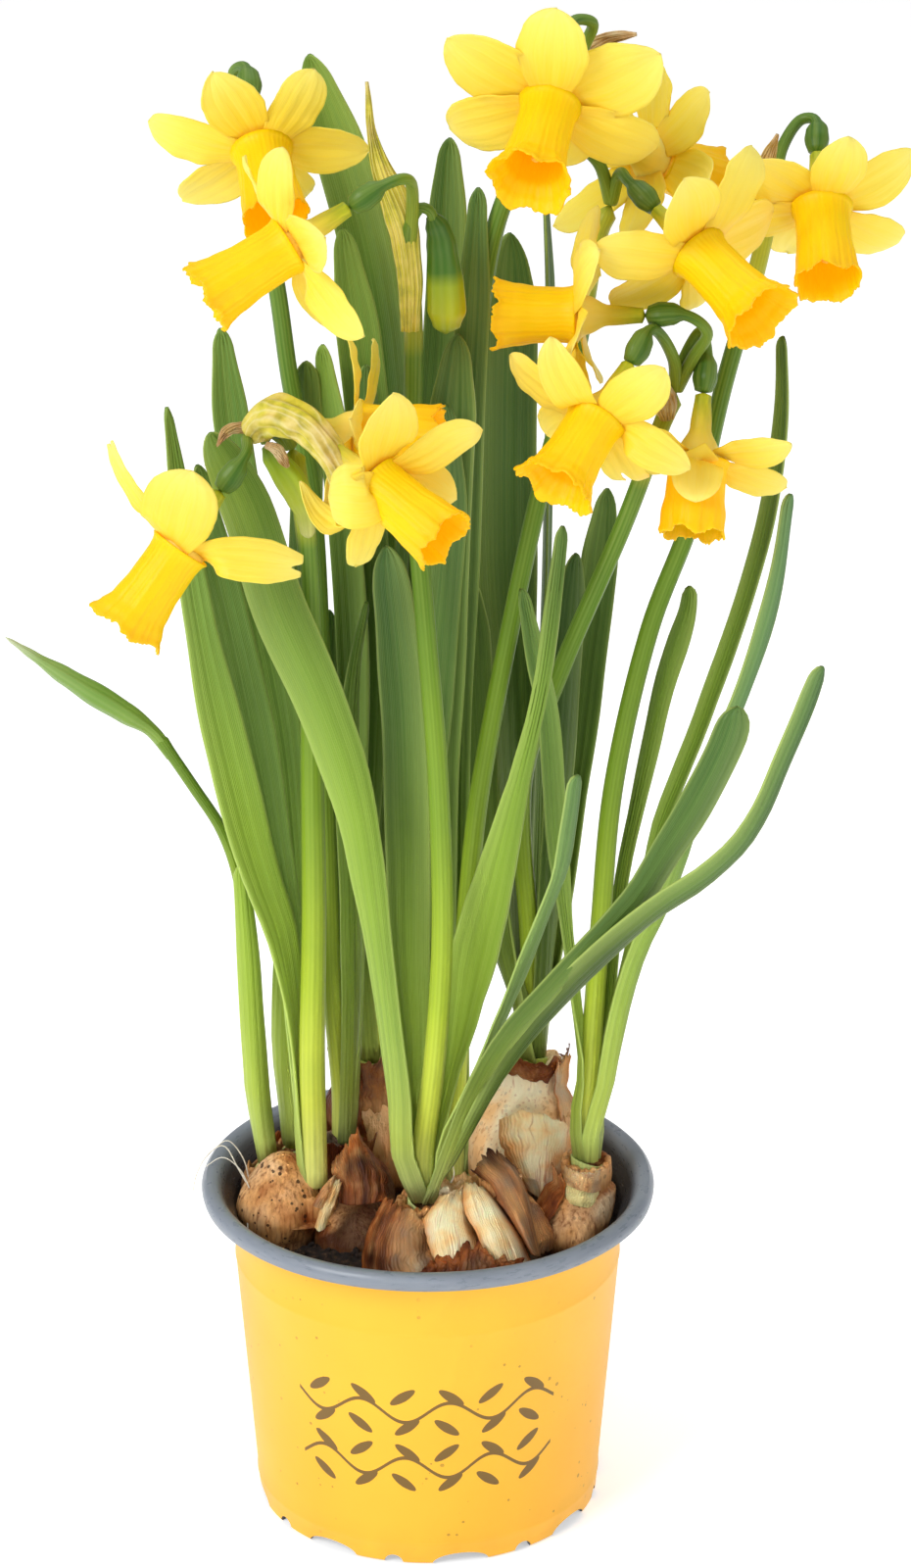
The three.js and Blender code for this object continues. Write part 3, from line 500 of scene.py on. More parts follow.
def makePot():
    lip, wall, foot = pot["height"] - pot["rimDepth"], pot["wallTopRadius"], pot["footRadius"]
    rim, thin, floor, pad = pot["rimRadius"], pot["wall"], pot["floor"], pot["padRadius"]
    ridges = []
    for level in pot["ridges"]:
        share = level / (lip - 2)
        outer = foot + (wall - foot) * share
        ridges += [(outer, level - 0.9), (outer + 0.2, level - 0.3), (outer + 0.2, level + 0.3),
                   (outer + 0.05, level + 0.9)]
    profile = [
        (0, 0), (pad, 0), (pad + 1, 0.3), (pad + 4, floor), (foot - 2.2, floor), (foot - 1.5, 0.2),
        (foot - 0.5, 0), (foot, 0.4), *ridges, (wall, lip - 2), (wall + 0.9, lip + 0.6),
        (wall + 2.4, lip + 2.4), (rim - 1.6, lip + 3.2), (rim - 1.3, lip + 1.9), (rim - 0.9, lip + 1.5),
        (rim - 0.35, lip + 1.9), (rim - 0.05, lip + 3), (rim, lip + 3.8), (rim - 0.4, lip + 4.9),
        (rim - 1.3, lip + 5.8), (rim - 2.4, lip + 6), (rim - 3.6, lip + 5.7), (rim - 4.6, lip + 4.9),
        (rim - 5.3, lip + 3.4), (wall + 1.4, lip + 1.4), (wall - 0.3, lip - 0.6), (wall - thin, lip - 3),
        (foot - thin, floor + 2.6), (foot - thin - 0.8, floor + 1.3), (pad + 5.5, floor + thin),
        (pad + 1.5, thin), (0, thin),
    ]
    clearSelection()
    bpy.ops.mesh.primitive_circle_add(vertices=len(profile), radius=0.05)
    piece = bpy.context.active_object
    for vertex, (r, z) in zip(piece.data.vertices, profile):
        vertex.co = Vector((r, 0, z)) * mm
    bpy.ops.object.mode_set(mode="EDIT")
    bpy.ops.mesh.select_all(action="SELECT")
    bpy.ops.mesh.spin(steps=pot["sides"], angle=2 * math.pi, center=(0, 0, 0), axis=(0, 0, 1))
    bpy.ops.mesh.select_all(action="SELECT")
    bpy.ops.mesh.remove_doubles(threshold=weldGap)
    bpy.ops.mesh.dissolve_degenerate(threshold=weldGap / 2)
    bpy.ops.mesh.select_all(action="SELECT")
    bpy.ops.mesh.normals_make_consistent(inside=False)
    bpy.ops.object.mode_set(mode="OBJECT")
    cutters = []
    for i in range(2 * pot["archCount"]):
        wide = i % 2 == 0
        radius = (pot["archWidth"] if wide else pot["notchWidth"]) / 2
        rise = pot["archRise"] if wide else pot["notchRise"]
        bearing = math.pi * (i + 0.5) / pot["archCount"] + math.pi / 2
        clearSelection()
        bpy.ops.mesh.primitive_cylinder_add(vertices=28, radius=radius * mm, depth=pot["cutterDepth"] * mm)
        cutter = bpy.context.active_object
        for vertex in cutter.data.vertices:
            x, y, z = vertex.co
            z, y = y * rise / radius, z + (foot - 1) * mm
            vertex.co = (x * math.sin(bearing) + y * math.cos(bearing),
                         -x * math.cos(bearing) + y * math.sin(bearing), z)
        cutters.append(cutter)
    for i in range(pot["drainCount"]):
        turn = 2 * math.pi * i / pot["drainCount"]
        clearSelection()
        bpy.ops.mesh.primitive_cylinder_add(
            vertices=24, radius=pot["drainRadius"] * mm, depth=pot["drainDepth"] * mm,
            location=ringSpot(pot["drainCircle"] * mm, turn, 4 * mm))
        bpy.ops.object.transform_apply(location=True)
        cutters.append(bpy.context.active_object)
    cutter = joinAll("potCutter", cutters)
    closeUp(cutter)
    applyModifier(piece, "BOOLEAN", object=cutter, operation="DIFFERENCE", solver="EXACT")
    bpy.data.objects.remove(cutter)
    for vertex in piece.data.vertices:
        x, y, z = vertex.co / mm
        wobble = pot["wobble"] * softNoise(x * 0.03, y * 0.03, z * 0.04) * min(1, max(0, z / 20))
        vertex.co.x *= 1 + wobble / wall
        vertex.co.y *= 1 + wobble / wall
    yellow, grey = makePotMaterials()
    for material in (yellow, grey):
        piece.data.materials.append(material)
    for face in piece.data.polygons:
        x, y, z = face.center / mm
        r = math.hypot(x, y)
        facing = face.normal.x * x / r + face.normal.y * y / r if r > foot - 1 else -1
        face.material_index = 0 if facing > 0.5 and z < lip + 1.4 and r < rim - 4 else 1
    finish(piece, [], "pot", 35)
    return piece


makePot().name = "pot_printed"
print("pot made")

# Soil: a rough dark surface with crumbs lying on it

soil = {
    "level": 75, "radius": 50.6, "bottom": 7.1, "side": 6.2, "around": 120, "rings": 60, "crumbs": 420,
    "crumbCircle": 49.4, "crumbSize": (0.7, 2.3), "pale": 0.05,
}


def makeSoilMaterial():
    material, tree, shader = newMaterial("pottingSoil", 0.9)
    spot = objectSpot(tree)
    grains = cloudy(tree, spot, 0.55, 2.2)
    fibres = cloudy(tree, scaled(tree, spot, (1, 3.5, 2)), 0.5, 3.0)
    colour = ramp(tree, grains, [(0.1, "#120b07"), (0.5, "#2c1d15"), (0.8, "#463122"), (1, "#6b5440")])
    colour = tint(tree, colour, attribute(tree, "pale"), 0.9, "#cdbfa8")
    wire(tree, shader, colour, None, calc(tree, "ADD", grains, fibres), 0.8, 1.2)
    return material


def makeSoil():
    top, bottom, radius = soil["level"], soil["bottom"], soil["radius"]

    def spot(u, s):
        # the top up to 0.8, then the side, and the underside from 0.9
        turn = 2 * math.pi * u
        if s > 0.9:
            return ringSpot(radius * 0.86 * (1 - s) / 0.1, turn, bottom)
        if s > 0.8:
            return ringSpot(radius - soil["side"] * (s - 0.8) / 0.1, turn,
                            top - (top - bottom) * (s - 0.8) / 0.1)
        r = radius * min(1, s / 0.8)
        x, y = r * math.cos(turn), r * math.sin(turn)
        rough = 2.2 * softNoise(x * 0.09, y * 0.09, 2) + 1.3 * softNoise(x * 0.3, y * 0.3, 5)
        rough += 0.7 * softNoise(x * 0.8, y * 0.8, 9)
        return Vector((x, y, top + 0.5 + rough * min(1, (radius - r) / 3 + 0.35)))

    bed = newStrip("soilBed", soil["around"], soil["rings"], spot)
    closeUp(bed)
    markAll(bed, "pale", 0.0)
    lumps = [bed]
    clearSelection()
    bpy.ops.mesh.primitive_ico_sphere_add(subdivisions=1, radius=1)
    crumb = bpy.context.active_object
    for i in range(soil["crumbs"]):
        lump = bpy.data.objects.new(f"crumb{i}", crumb.data.copy())
        bpy.context.collection.objects.link(lump)
        turn, r = random.uniform(0, 2 * math.pi), soil["crumbCircle"] * math.sqrt(random.random())
        size = random.uniform(*soil["crumbSize"]) * (0.55 + 0.45 * random.random())
        flat = [size * random.uniform(0.6, 1.3) for _ in range(3)]
        x, y = r * math.cos(turn), r * math.sin(turn)
        z = top + 0.7 + 2.2 * softNoise(x * 0.09, y * 0.09, 2) + flat[2] * 0.3
        spin = random.uniform(0, math.pi)
        for vertex in lump.data.vertices:
            p = Vector([c * f for c, f in zip(vertex.co, flat)]) * random.uniform(0.82, 1.12)
            vertex.co = Vector((x + p.x * math.cos(spin) - p.y * math.sin(spin),
                                y + p.x * math.sin(spin) + p.y * math.cos(spin), z + p.z)) * mm
        markAll(lump, "pale", 1.0 if random.random() < soil["pale"] else 0.0)
        lumps.append(lump)
    bpy.data.objects.remove(crumb)
    piece = joinAll("soil_bed", lumps)
    finish(piece, [makeSoilMaterial()], "soil", 50)


makeSoil()
print("soil made")

# Bulbs: onion-shaped noses with fibrous tunics, ragged collars and flaps of loose skin. Each nose has its
# belly and its radius, its neck and the neck's radius, which is 0 where no leaf grows, and then from 0 to 1
# how much flesh shows through, how dark it is (the tunic's own dark brown, and painted shade) and how
# spotted. Lower down each nose is painted darker still, as shade.
bulbs = {
  "bulb_front": [
    ([3, -21, 76], 17, [-1, -16, 92], 7.5, 0.55, 0.4, 0.2),
    ([7, -10, 78], 10, [7, -6, 93], 6.6, 0.9, 0.0, 0.1),
    ([14, -21, 80], 12, [6.5, -13, 96], 5.4, 1.0, 0.0, 0.0)],
  "bulb_left": [
    ([-37, -1, 81], 11, [-30, -4, 89], 6.4, 0.1, 0.4, 0.6),
    ([-38, 7, 78], 8, [-43, 9, 90], 5, 0.1, 0.6, 0.5),
    ([-35, 12, 78], 8, [-36, 18, 91], 5.6, 0.2, 0.5, 0.5),
    ([-39.5, -3, 83.5], 10, [-38, -1, 98.5], 0, 0.15, 0.1, 0.9)],
  "bulb_mid_left": [
    ([-22, 11, 79], 10, [-23, 13, 95], 6.6, 0.1, 0.8, 0.4),
    ([-20, -7, 77], 9.5, [-17, 3, 96], 0, 0.0, 0.8, 0.3)],
  "bulb_back_left": [([-12, 28, 85], 12, [-15, 27, 112], 7.4, 0.7, 0.1, 0.2)],
  "bulb_right": [([38, -8, 80], 9, [42, -2, 97], 6.6, 0.2, 0.35, 0.4)],
  "bulb_back_right": [([24, 24, 88], 13, [28, 29, 112], 8, 1.0, 0.0, 0.2)],
  "bulb_centre": [([22, -12, 80], 10, [19, -11, 97], 6, 0.2, 0.5, 0.3)],
}

bulbLook = {
    "tan": "#eeb06c", "brown": "#a85a26", "dark": "#3b1a0b", "cream": "#fff3d0", "peach": "#ffcf92",
    "spot": "#3f2615", "vein": "#b8672a", "around": 72, "upwards": 56, "collar": 1.8, "swell": 1.07,
    "neckLong": 7, "bore": 4.6, "skin": 0.3, "flap": (52, 40), "wrap": (40, 36), "hair": 0.22,
    "towardsEye": (0, -0.93, 0.37),
}


def makeBulbMaterials():
    material, tree, shader = newMaterial("bulbTunic", 0.55, Specular_IOR_Level=0.2)
    spot = objectSpot(tree)
    cloud = cloudy(tree, spot, 0.09, 2.4)
    fibres = cloudy(tree, scaled(tree, spot, (1, 1, 0.12)), 1.1, 3.2)
    colour = ramp(tree, cloud, [(0.1, bulbLook["brown"]), (0.45, bulbLook["tan"]), (0.9, "#f6c994")])
    colour = tint(tree, colour, fibres, 0.55, "#9a5426")
    wide = cloudy(tree, scaled(tree, spot, (1, 1, 0.5)), 0.05, 2.6)
    flesh = ramp(tree, wide, [(0.15, bulbLook["cream"]), (0.5, bulbLook["peach"]), (0.9, "#dc9656")])
    cracks = calc(tree, "MULTIPLY_ADD", fibres, 3.0, -2.1, clamp=True)
    flesh = tint(tree, flesh, cracks, 0.55, bulbLook["vein"])
    colour = tint(tree, colour, cracks, 0.5, "#6b3413")
    colour = blendTones(tree, attribute(tree, "peeled"), colour, flesh)
    # dark attribute: the tunic's own dark brown, and painted shade lower down and between the noses
    colour = tint(tree, colour, attribute(tree, "dark"), 0.9, bulbLook["dark"])
    dots = useGroup(tree, specks, Spot=spot, Scale=0.62, Size=0.4, Share=0.62)[0]
    colour = tint(tree, colour, dots, attribute(tree, "dotted"), bulbLook["spot"])
    rough = calc(tree, "MULTIPLY_ADD", fibres, 0.25, 0.38)
    wire(tree, shader, colour, rough, calc(tree, "ADD", fibres, cloud), 0.55, 0.6)

    skin, tree, shader = newMaterial("looseSkin", 0.5, Subsurface_Weight=0.1, Specular_IOR_Level=0.2)
    shader.inputs["Subsurface Scale"].default_value = 0.002
    lines = useGroup(tree, veins, Uv=uvSpot(tree), Count=24.0, Waver=3.5)
    cloud = cloudy(tree, objectSpot(tree), 0.13, 2.4)
    colour = ramp(tree, cloud, [(0.1, "#70300f"), (0.5, "#b9682c"), (0.9, "#f2b071")])
    colour = tint(tree, colour, lines["Streak"], 0.6, "#4f220c")
    pale = ramp(tree, cloud, [(0.25, "#fff0c6"), (0.6, "#ffdca0"), (0.95, "#f6ad66")])
    sparse = calc(tree, "MULTIPLY_ADD", lines["Streak"], 3.2, -2.1, clamp=True)
    pale = tint(tree, pale, sparse, 0.6, bulbLook["vein"])
    edge = calc(tree, "ABSOLUTE", calc(tree, "MULTIPLY_ADD", part(tree, uvSpot(tree), 0), 2.0, -1.0))
    pale = tint(tree, pale, calc(tree, "POWER", edge, 4.0), 0.75, "#dc8238")
    colour = blendTones(tree, attribute(tree, "pale"), colour, pale)
    # dark attribute: dark dry skin, and painted shade towards the lower edges
    colour = tint(tree, colour, attribute(tree, "dark"), 0.9, bulbLook["dark"])
    colour = blendTones(tree, attribute(tree, "lime"), colour, "#cfd48a")
    wire(tree, shader, colour, None, calc(tree, "ADD", lines["Mask"], lines["Streak"]), 0.5, 0.5)
    return material, skin


def noseForm(nose):
    # its curve, its radii along it, and the share of it where the neck starts
    belly, radius, neck, neckRadius = nose[:4]
    radius *= bulbLook["swell"]
    foot = (belly[0], belly[1], belly[2] - radius * 1.05)
    curve = route([foot, belly, (neck[0], neck[1], neck[2] - 6), neck])
    waist = 1 - bulbLook["neckLong"] / curve[1][-1]
    if not neckRadius:
        shape = [[0, 0.6], [0.2, 0.9], [0.4, 1], [0.58, 0.97], [0.72, 0.84], [0.84, 0.64], [0.93, 0.42],
                 [0.98, 0.2], [1, 0.02]]
        return curve, [[s, radius * share] for s, share in shape], 1
    radii = [[0, radius * 0.6], [0.2, radius * 0.92], [0.45, radius], [0.6, radius * 0.95],
             [0.72, radius * 0.55 + neckRadius * 0.45], [waist, neckRadius * 0.98], [1, neckRadius]]
    return curve, sorted(radii), waist


def makeNose(name, nose, seed):
    curve, radii, waist = noseForm(nose)
    belly, dome = nose[0], not nose[3]
    peeled, dark, dotted = nose[4:]
    bore, rings = bulbLook["bore"], bulbLook["upwards"]

    def spot(u, s):
        turn = 2 * math.pi * u
        row = round(s * rings)
        t = s if dome else min(1, s / 0.9)
        centre = spotAt(curve, t)
        r = lineValue(radii, t)
        lump = math.sin(math.pi * min(1, t / waist))
        r *= 1 + 0.035 * lump * math.sin(3 * turn + belly[0])
        r += 0.35 * softNoise(6 * math.cos(turn), 6 * math.sin(turn), t * 2, seed) * min(1, 8 * (1 - t))
        r += 0.6 * lump * softNoise(2 * math.cos(turn), 2 * math.sin(turn), t * 3, seed + 3)
        r += 0.22 * lump * softNoise(14 * math.cos(turn), 14 * math.sin(turn), t * 5, seed + 6)
        z = 0
        if not dome:
            z = bulbLook["collar"] * softNoise(4 * math.cos(turn), 4 * math.sin(turn), 1, seed) * t ** 8
        if s > 0.9 and not dome:
            inward = (s - 0.9) / 0.1
            r = r + (bore - r) * min(1, inward * 1.6)
            z -= 5 * max(0, inward - 0.5)
        if row in (0, rings):
            r = 0
        return centre + ringSpot(r, turn, z)

    piece = newStrip(name, bulbLook["around"], rings, spot)
    closeUp(piece)

    def bare(point):
        patch = softNoise(point.x * 0.07, point.y * 0.07, point.z * 0.05, seed + 9) + 0.5
        return min(1, max(0, (peeled - 1 + patch * 1.1) * 5)) if peeled < 1 else 1.0

    def shade(point):
        patch = softNoise(point.x * 0.12, point.y * 0.12, point.z * 0.1, seed + 5) + 0.5
        # painted shade: points lower than 86 mm are made darker, down among the noses
        low = max(0, (86 - point.z) / 10)
        return min(1, max(0, dark * patch * 1.5 + low * patch + max(0, dark - 0.5)))

    markAll(piece, "peeled", bare)
    markAll(piece, "dark", shade)
    markAll(piece, "dotted", dotted)
    return piece


def makeSkin(name, nose, seed, bearing, wide, low, high, lift, dark, pale):
    # a flap of tunic that lies round a nose from share low to share high of its height, and lifts off
    curve, radii = noseForm(nose)[:2]

    def spot(u, s):
        ragged = 1 + 0.2 * softNoise(s * 5, u * 2, 1, seed) + 0.08 * softNoise(s * 17, u * 2, 4, seed)
        turn = math.radians(bearing + (u - 0.5) * wide * ragged)
        torn = 0.07 * softNoise(u * 7, 3, 2, seed) + 0.05 * softNoise(u * 19, 3, 2, seed)
        share = low + (high - low) * s
        top = share + torn * (s ** 2 + (1 - s) ** 4)
        edge = abs(2 * u - 1)
        free = lift[0] + lift[1] * s ** 3 + lift[2] * edge ** 3
        free += 0.8 * softNoise(u * 3, s * 2.5, 5, seed) + 0.16 * softNoise(u * 16, s * 5, 8, seed)
        r = lineValue(radii, min(1, top)) + max(0.3, free)
        return spotAt(curve, min(1, top)) + ringSpot(r, turn, max(0, top - 1) * curve[1][-1])

    piece = newStrip(name, *bulbLook["wrap"], spot)
    markAll(piece, "dark", dark)
    markAll(piece, "pale", pale)
    thicken(piece, bulbLook["skin"])
    return piece


# bulb, nose, bearing, width in degrees, from and to share of its height, lift, darkness (dark dry skin,
# partly painted shade), paleness
skins = [
    ("bulb_front", 2, 12, 50, 0.40, 1.0, (1.0, 1.6, 1.6), 0.1, 0.15),
    ("bulb_left", 2, 60, 150, 0.4, 1.06, (0.6, 0.8, 1.0), 0.3, 0.0),
    ("bulb_mid_left", 0, 270, 150, 0.3, 1.12, (0.6, 1.2, 1.2), 0.6, 0.0),
    ("bulb_back_left", 0, 285, 140, 0.76, 1.1, (0.5, 1.2, 1.2), 0.15, 0.1),
    ("bulb_back_left", 0, 215, 80, 0.5, 1.1, (0.8, 1.8, 1.6), 0.25, 0.0),
    ("bulb_right", 0, 200, 60, 0.3, 0.9, (0.6, 1.2, 1.2), 0.1, 0.0),
    ("bulb_back_right", 0, 265, 230, 0.92, 1.06, (0.6, 1.0, 0.8), 0.55, 0.0),
    ("bulb_back_right", 0, 326, 36, 0.66, 1.04, (0.6, 1.0, 1.4), 0.0, 0.5),
    ("bulb_centre", 0, 300, 90, 0.3, 0.9, (0.4, 0.8, 0.8), 0.1, 0.2),
]

# flaps that lie where the photograph shows them: rows of points from the upper edge down, darkness down
# the flap, paleness across it, how torn its upper edge is, and how deep its folds are
# a flap's darkness is partly dark dry skin and partly painted shade, darker towards its lower edge
flaps = {
  "flap_cone": {"torn": 0.08, "fold": 0.5, "folds": 5,
    "dark": [[0, 0.3], [0.3, 0.55], [0.6, 0.6], [1, 0.5]],
    "pale": [[0, 0], [0.5, 0.05], [0.75, 0.4], [1, 0.95]], "rows": [
    [[-10.1, -20, 96.0], [-7.4, -24, 96.8], [-4.7, -27, 96.0], [-2.6, -28, 95.3], [-1.2, -27, 93.3]],
    [[-12.2, -20, 92.4], [-9.5, -27, 93.6], [-6.2, -31, 93.9], [-3.1, -32, 93.5], [-0.2, -30, 91.0]],
    [[-14.9, -21, 87.0], [-11.6, -30, 89.2], [-7.3, -35, 90.0], [-3.0, -36, 89.9], [0.6, -34, 87.7]],
    [[-16.8, -22, 80.9], [-12.6, -32, 83.7], [-7.8, -38, 85.0], [-3.0, -40, 86.4], [1.4, -38, 87.4]],
    [[-17.1, -24, 75.4], [-12.6, -34, 78.2], [-7.8, -40, 79.6], [-3.0, -42, 81.2], [1.5, -41, 84.2]]]},
  "flap_cream": {"torn": 0.08, "fold": 0.2, "folds": 3, "dark": [[0, 0.3], [0.12, 0.15], [0.25, 0], [1, 0]],
    "pale": [[0, 0.8], [0.1, 1], [1, 1]], "rows": [
    [[3.8, -21, 96.5], [5.9, -20, 97.2], [8.0, -18, 97.1], [10.4, -15, 96.5]],
    [[0.9, -27, 94.8], [3.8, -28, 95.9], [7.0, -26, 95.5], [10.4, -22, 94.6]],
    [[-1.0, -30, 92.8], [2.8, -33, 93.7], [7.0, -32, 93.8], [11.5, -27, 91.2]],
    [[-0.2, -33, 89.6], [3.3, -37, 91.0], [7.5, -37, 91.0], [12.5, -31, 88.5]],
    [[1.2, -37, 86.9], [3.8, -40, 86.1], [8.0, -40, 86.1], [13.3, -34, 85.3]],
    [[1.2, -40, 83.7], [3.8, -41, 81.3], [8.0, -41, 81.3], [13.8, -37, 82.1]]]},
  "flap_veined": {"torn": 0.08, "fold": 0.4, "folds": 5, "dark": [[0, 0.25], [0.12, 0], [1, 0]],
    "pale": [[0, 1], [0.5, 1], [0.75, 0.7], [1, 0.1]], "rows": [
    [[10.2, -14, 96.9], [11.2, -15, 97.7], [12.6, -15, 97.2], [14.2, -13, 95.4]],
    [[9.4, -22, 96.4], [12.3, -24, 97.4], [15.5, -23, 96.3], [18.4, -19, 92.8]],
    [[9.9, -28, 94.1], [13.3, -30, 94.5], [17.6, -29, 94.0], [21.6, -24, 90.0]],
    [[12.3, -32, 90.8], [15.9, -35, 91.8], [19.6, -34, 91.2], [24.2, -28, 87.6]],
    [[14.4, -35, 87.6], [17.5, -38, 86.8], [21.8, -37, 85.7], [26.6, -30, 83.3]],
    [[15.4, -38, 83.8], [18.6, -40, 82.5], [22.8, -39, 82.0], [27.7, -32, 80.1]]]},
  "flap_curl": {"torn": 0.07, "fold": 0.35, "folds": 3,
    "dark": [[0, 0.85], [0.16, 0.55], [0.3, 0.15], [0.55, 0.05], [1, 0.3]],
    "pale": [[0, 0.1], [0.4, 0.3], [0.6, 0.1], [1, 0.4]], "rows": [
    [[10.6, -12, 99.3], [12.9, -11, 102.2], [15.8, -9, 104.7], [18.8, -8, 104.4], [20.5, -7, 102.9]],
    [[13.1, -15, 98.6], [15.0, -16, 101.7], [17.1, -14, 102.5], [19.3, -12, 102.1], [20.8, -9, 100.9]],
    [[16.0, -18, 97.9], [17.6, -20, 100.2], [19.8, -18, 100.3], [21.9, -15, 100.0], [23.5, -11, 98.5]],
    [[18.4, -21, 94.4], [20.3, -23, 96.3], [22.4, -21, 95.9], [24.6, -18, 95.0], [26.3, -14, 92.7]],
    [[21.6, -25, 91.1], [23.4, -27, 92.4], [25.0, -25, 91.4], [26.7, -22, 89.9], [27.7, -18, 87.6]],
    [[24.7, -29, 87.8], [25.8, -31, 88.2], [26.9, -29, 86.6], [28.0, -26, 84.8], [29.0, -22, 82.4]],
    [[27.1, -31, 83.8], [27.9, -32, 84.0], [28.5, -30, 82.7], [29.0, -28, 81.6], [29.6, -25, 80.1]]]},
  "flap_crumpled": {"torn": 0.2, "fold": 0.7, "folds": 9, "dark": [[0, 0.35], [0.5, 0.6], [1, 0.8]],
    "pale": [[0, 0], [1, 0]], "rows": [
    [[-7.6, -41, 83.8], [-0.6, -38, 87.2], [3.8, -37, 89.2], [7.5, -37, 89.4], [12.5, -34, 92.8],
     [17.0, -36, 91.0], [21.2, -37, 88.2], [26.9, -36, 86.8]],
    [[-4.6, -42, 82.9], [-0.1, -41, 84.8], [3.8, -41, 86.6], [7.5, -41, 87.2], [12.5, -39, 89.1],
     [17.0, -40, 88.4], [20.1, -40, 86.1], [24.4, -39, 85.0]],
    [[-4.6, -43, 80.7], [-0.1, -43, 81.3], [3.8, -43.5, 82.8], [7.5, -43.5, 83.3], [12.5, -43, 84.3],
     [17.0, -43, 84.3], [20.1, -42, 83.2], [23.8, -41, 82.0]],
    [[-4.6, -43, 76], [-0.1, -43, 76], [3.8, -43.5, 77], [7.5, -43.5, 77], [12.5, -43, 78], [17.0, -43, 78],
     [20.1, -42, 77], [23.8, -41, 76]]]},
  "flap_collar": {"torn": 0.12, "fold": 0.25, "folds": 4, "dark": [[0, 0.05], [1, 0.25]],
    "pale": [[0, 0.3], [0.4, 0.6], [1, 0.3]], "rows": [
    [[35.4, -2, 97.5], [37.6, -8, 98.1], [40.7, -11, 98.1], [43.9, -10, 98.2], [47.1, -3, 97.0]],
    [[35.2, -3, 94.7], [37.5, -9.5, 95.8], [40.7, -12.5, 95.8], [43.9, -11, 95.4], [46.7, -4, 94.0]],
    [[35.0, -4, 91.3], [37.3, -10, 93.1], [40.5, -12.5, 93.0], [43.4, -11, 91.6], [46.4, -5, 90.0]]]},
  "flap_ring": {"torn": 0, "fold": 0.05, "folds": 1, "lime": 0.5, "dark": [[0, 0], [1, 0.1]],
    "pale": [[0, 1], [1, 1]], "rows": [
    [[34.9, -3, 91.7], [37.3, -9, 93.4], [40.5, -11.5, 93.5], [43.5, -10, 92.2], [46.3, -4, 90.7]],
    [[34.8, -4, 89.2], [37.3, -10, 90.7], [40.5, -12.2, 90.7], [43.5, -11, 89.7], [46.3, -6, 88.4]],
    [[35.0, -4, 85.8], [37.3, -10, 87.9], [40.5, -12.5, 88.3], [43.5, -11, 87.2], [46.3, -6, 85.9]]]},
  "flap_back_right": {"torn": 0.03, "fold": 0.35, "folds": 4, "dark": [[0, 0], [0.7, 0], [1, 0.2]],
    "pale": [[0, 1], [1, 1]], "rows": [
    [[19.1, 8, 104.1], [23.8, 6, 107.9], [29.2, 6, 107.6], [34.4, 8, 104.5], [38.9, 12, 98.9]],
    [[19.2, 5, 97.9], [24.2, 3, 99.4], [29.3, 3, 99.1], [34.3, 5, 96.4], [38.3, 9, 92.3]],
    [[22.4, 3, 92.3], [25.9, 1, 92.7], [29.7, 1, 92.1], [33.2, 3, 90.5], [35.2, 6, 87.8]],
    [[25.1, 1, 88.5], [27.5, 0, 88.1], [30.2, 0, 87.5], [32.7, 2, 86.5], [33.7, 4, 85.5]],
    [[26.9, 0, 86.6], [28.6, -0.5, 85.5], [30.4, -0.5, 84.4], [31.8, 1, 84.9], [32.6, 3, 85.0]]]},
  "flap_pale_left": {"torn": 0.05, "fold": 0.1, "folds": 1, "lime": 0.12, "dark": [[0, 0.1], [1, 0]],
    "pale": [[0, 1], [1, 1]], "rows": [
    [[-24.6, -12, 96.1], [-23.5, -12.5, 96.7], [-22.4, -12, 95.5]],
    [[-26.5, -14, 92.7], [-25.0, -15.5, 93.2], [-23.6, -15, 92.3]],
    [[-28.2, -16, 88.9], [-26.7, -18, 89.5], [-25.2, -17, 88.8]],
    [[-29.4, -18, 84.9], [-28.2, -20, 84.8], [-26.6, -19, 85.3]]]},
  "flap_brown_left": {"torn": 0.05, "fold": 0.15, "folds": 1, "dark": [[0, 0.1], [1, 0]],
    "pale": [[0, 0.1], [1, 0.5]], "rows": [
    [[-25.9, -13, 96.1], [-24.8, -13, 97.6], [-23.6, -12, 97.5]],
    [[-28.2, -15, 93.8], [-26.7, -16, 94.3], [-25.4, -15, 94.4]],
    [[-30.0, -16, 90.4], [-28.9, -17.5, 90.5], [-27.5, -17, 90.3]]]},
  "flap_dark_middle": {"torn": 0.16, "fold": 0.55, "folds": 6,
    "dark": [[0, 0.15], [0.3, 0.45], [0.7, 0.75], [1, 0.7]], "pale": [[0, 0], [1, 0]], "rows": [
    [[-25.2, 0, 95.5], [-21.6, 0, 103.4], [-18.9, 0, 107.7], [-17.8, 0, 102.8], [-15.9, -1, 100.3]],
    [[-25.4, -3, 95.3], [-21.5, -5, 100.8], [-18.8, -6, 103.3], [-16.1, -6, 101.3], [-12.9, -5, 97.8]],
    [[-25.0, -6, 94.4], [-21.5, -9, 97.7], [-18.2, -11, 99.5], [-14.7, -11, 98.7], [-10.7, -9, 95.9]],
    [[-23.6, -10, 92.8], [-20.3, -13, 94.6], [-17.1, -14, 95.4], [-13.6, -14, 94.8], [-10.2, -13, 93.1]],
    [[-23.0, -13, 89.5], [-19.8, -16, 90.4], [-16.5, -17, 91.2], [-13.3, -17, 91.8], [-10.9, -16, 92.2]]]},
}

# points of the thin white roots that hang over the rim or stick up between the noses
rootHairs = [
    [[-46, -2, 86], [-50, 0, 93], [-54, 1, 99.5], [-58, 1, 97], [-61, 0, 92], [-62.4, -1, 86]],
    [[-47, 2, 87], [-49, 3, 95], [-53, 3, 100], [-56.5, 2, 98], [-60, 2, 94]],
    [[-44, -6, 84], [-47, -5, 90], [-49.5, -4, 95], [-54, -3, 98], [-59, -3, 95]],
    [[6.2, -16, 97], [7, -17, 100], [6.6, -17.5, 103.5]],
    [[-47.5, -9, 83], [-47, -12, 80], [-44, -14, 78.5]],
]


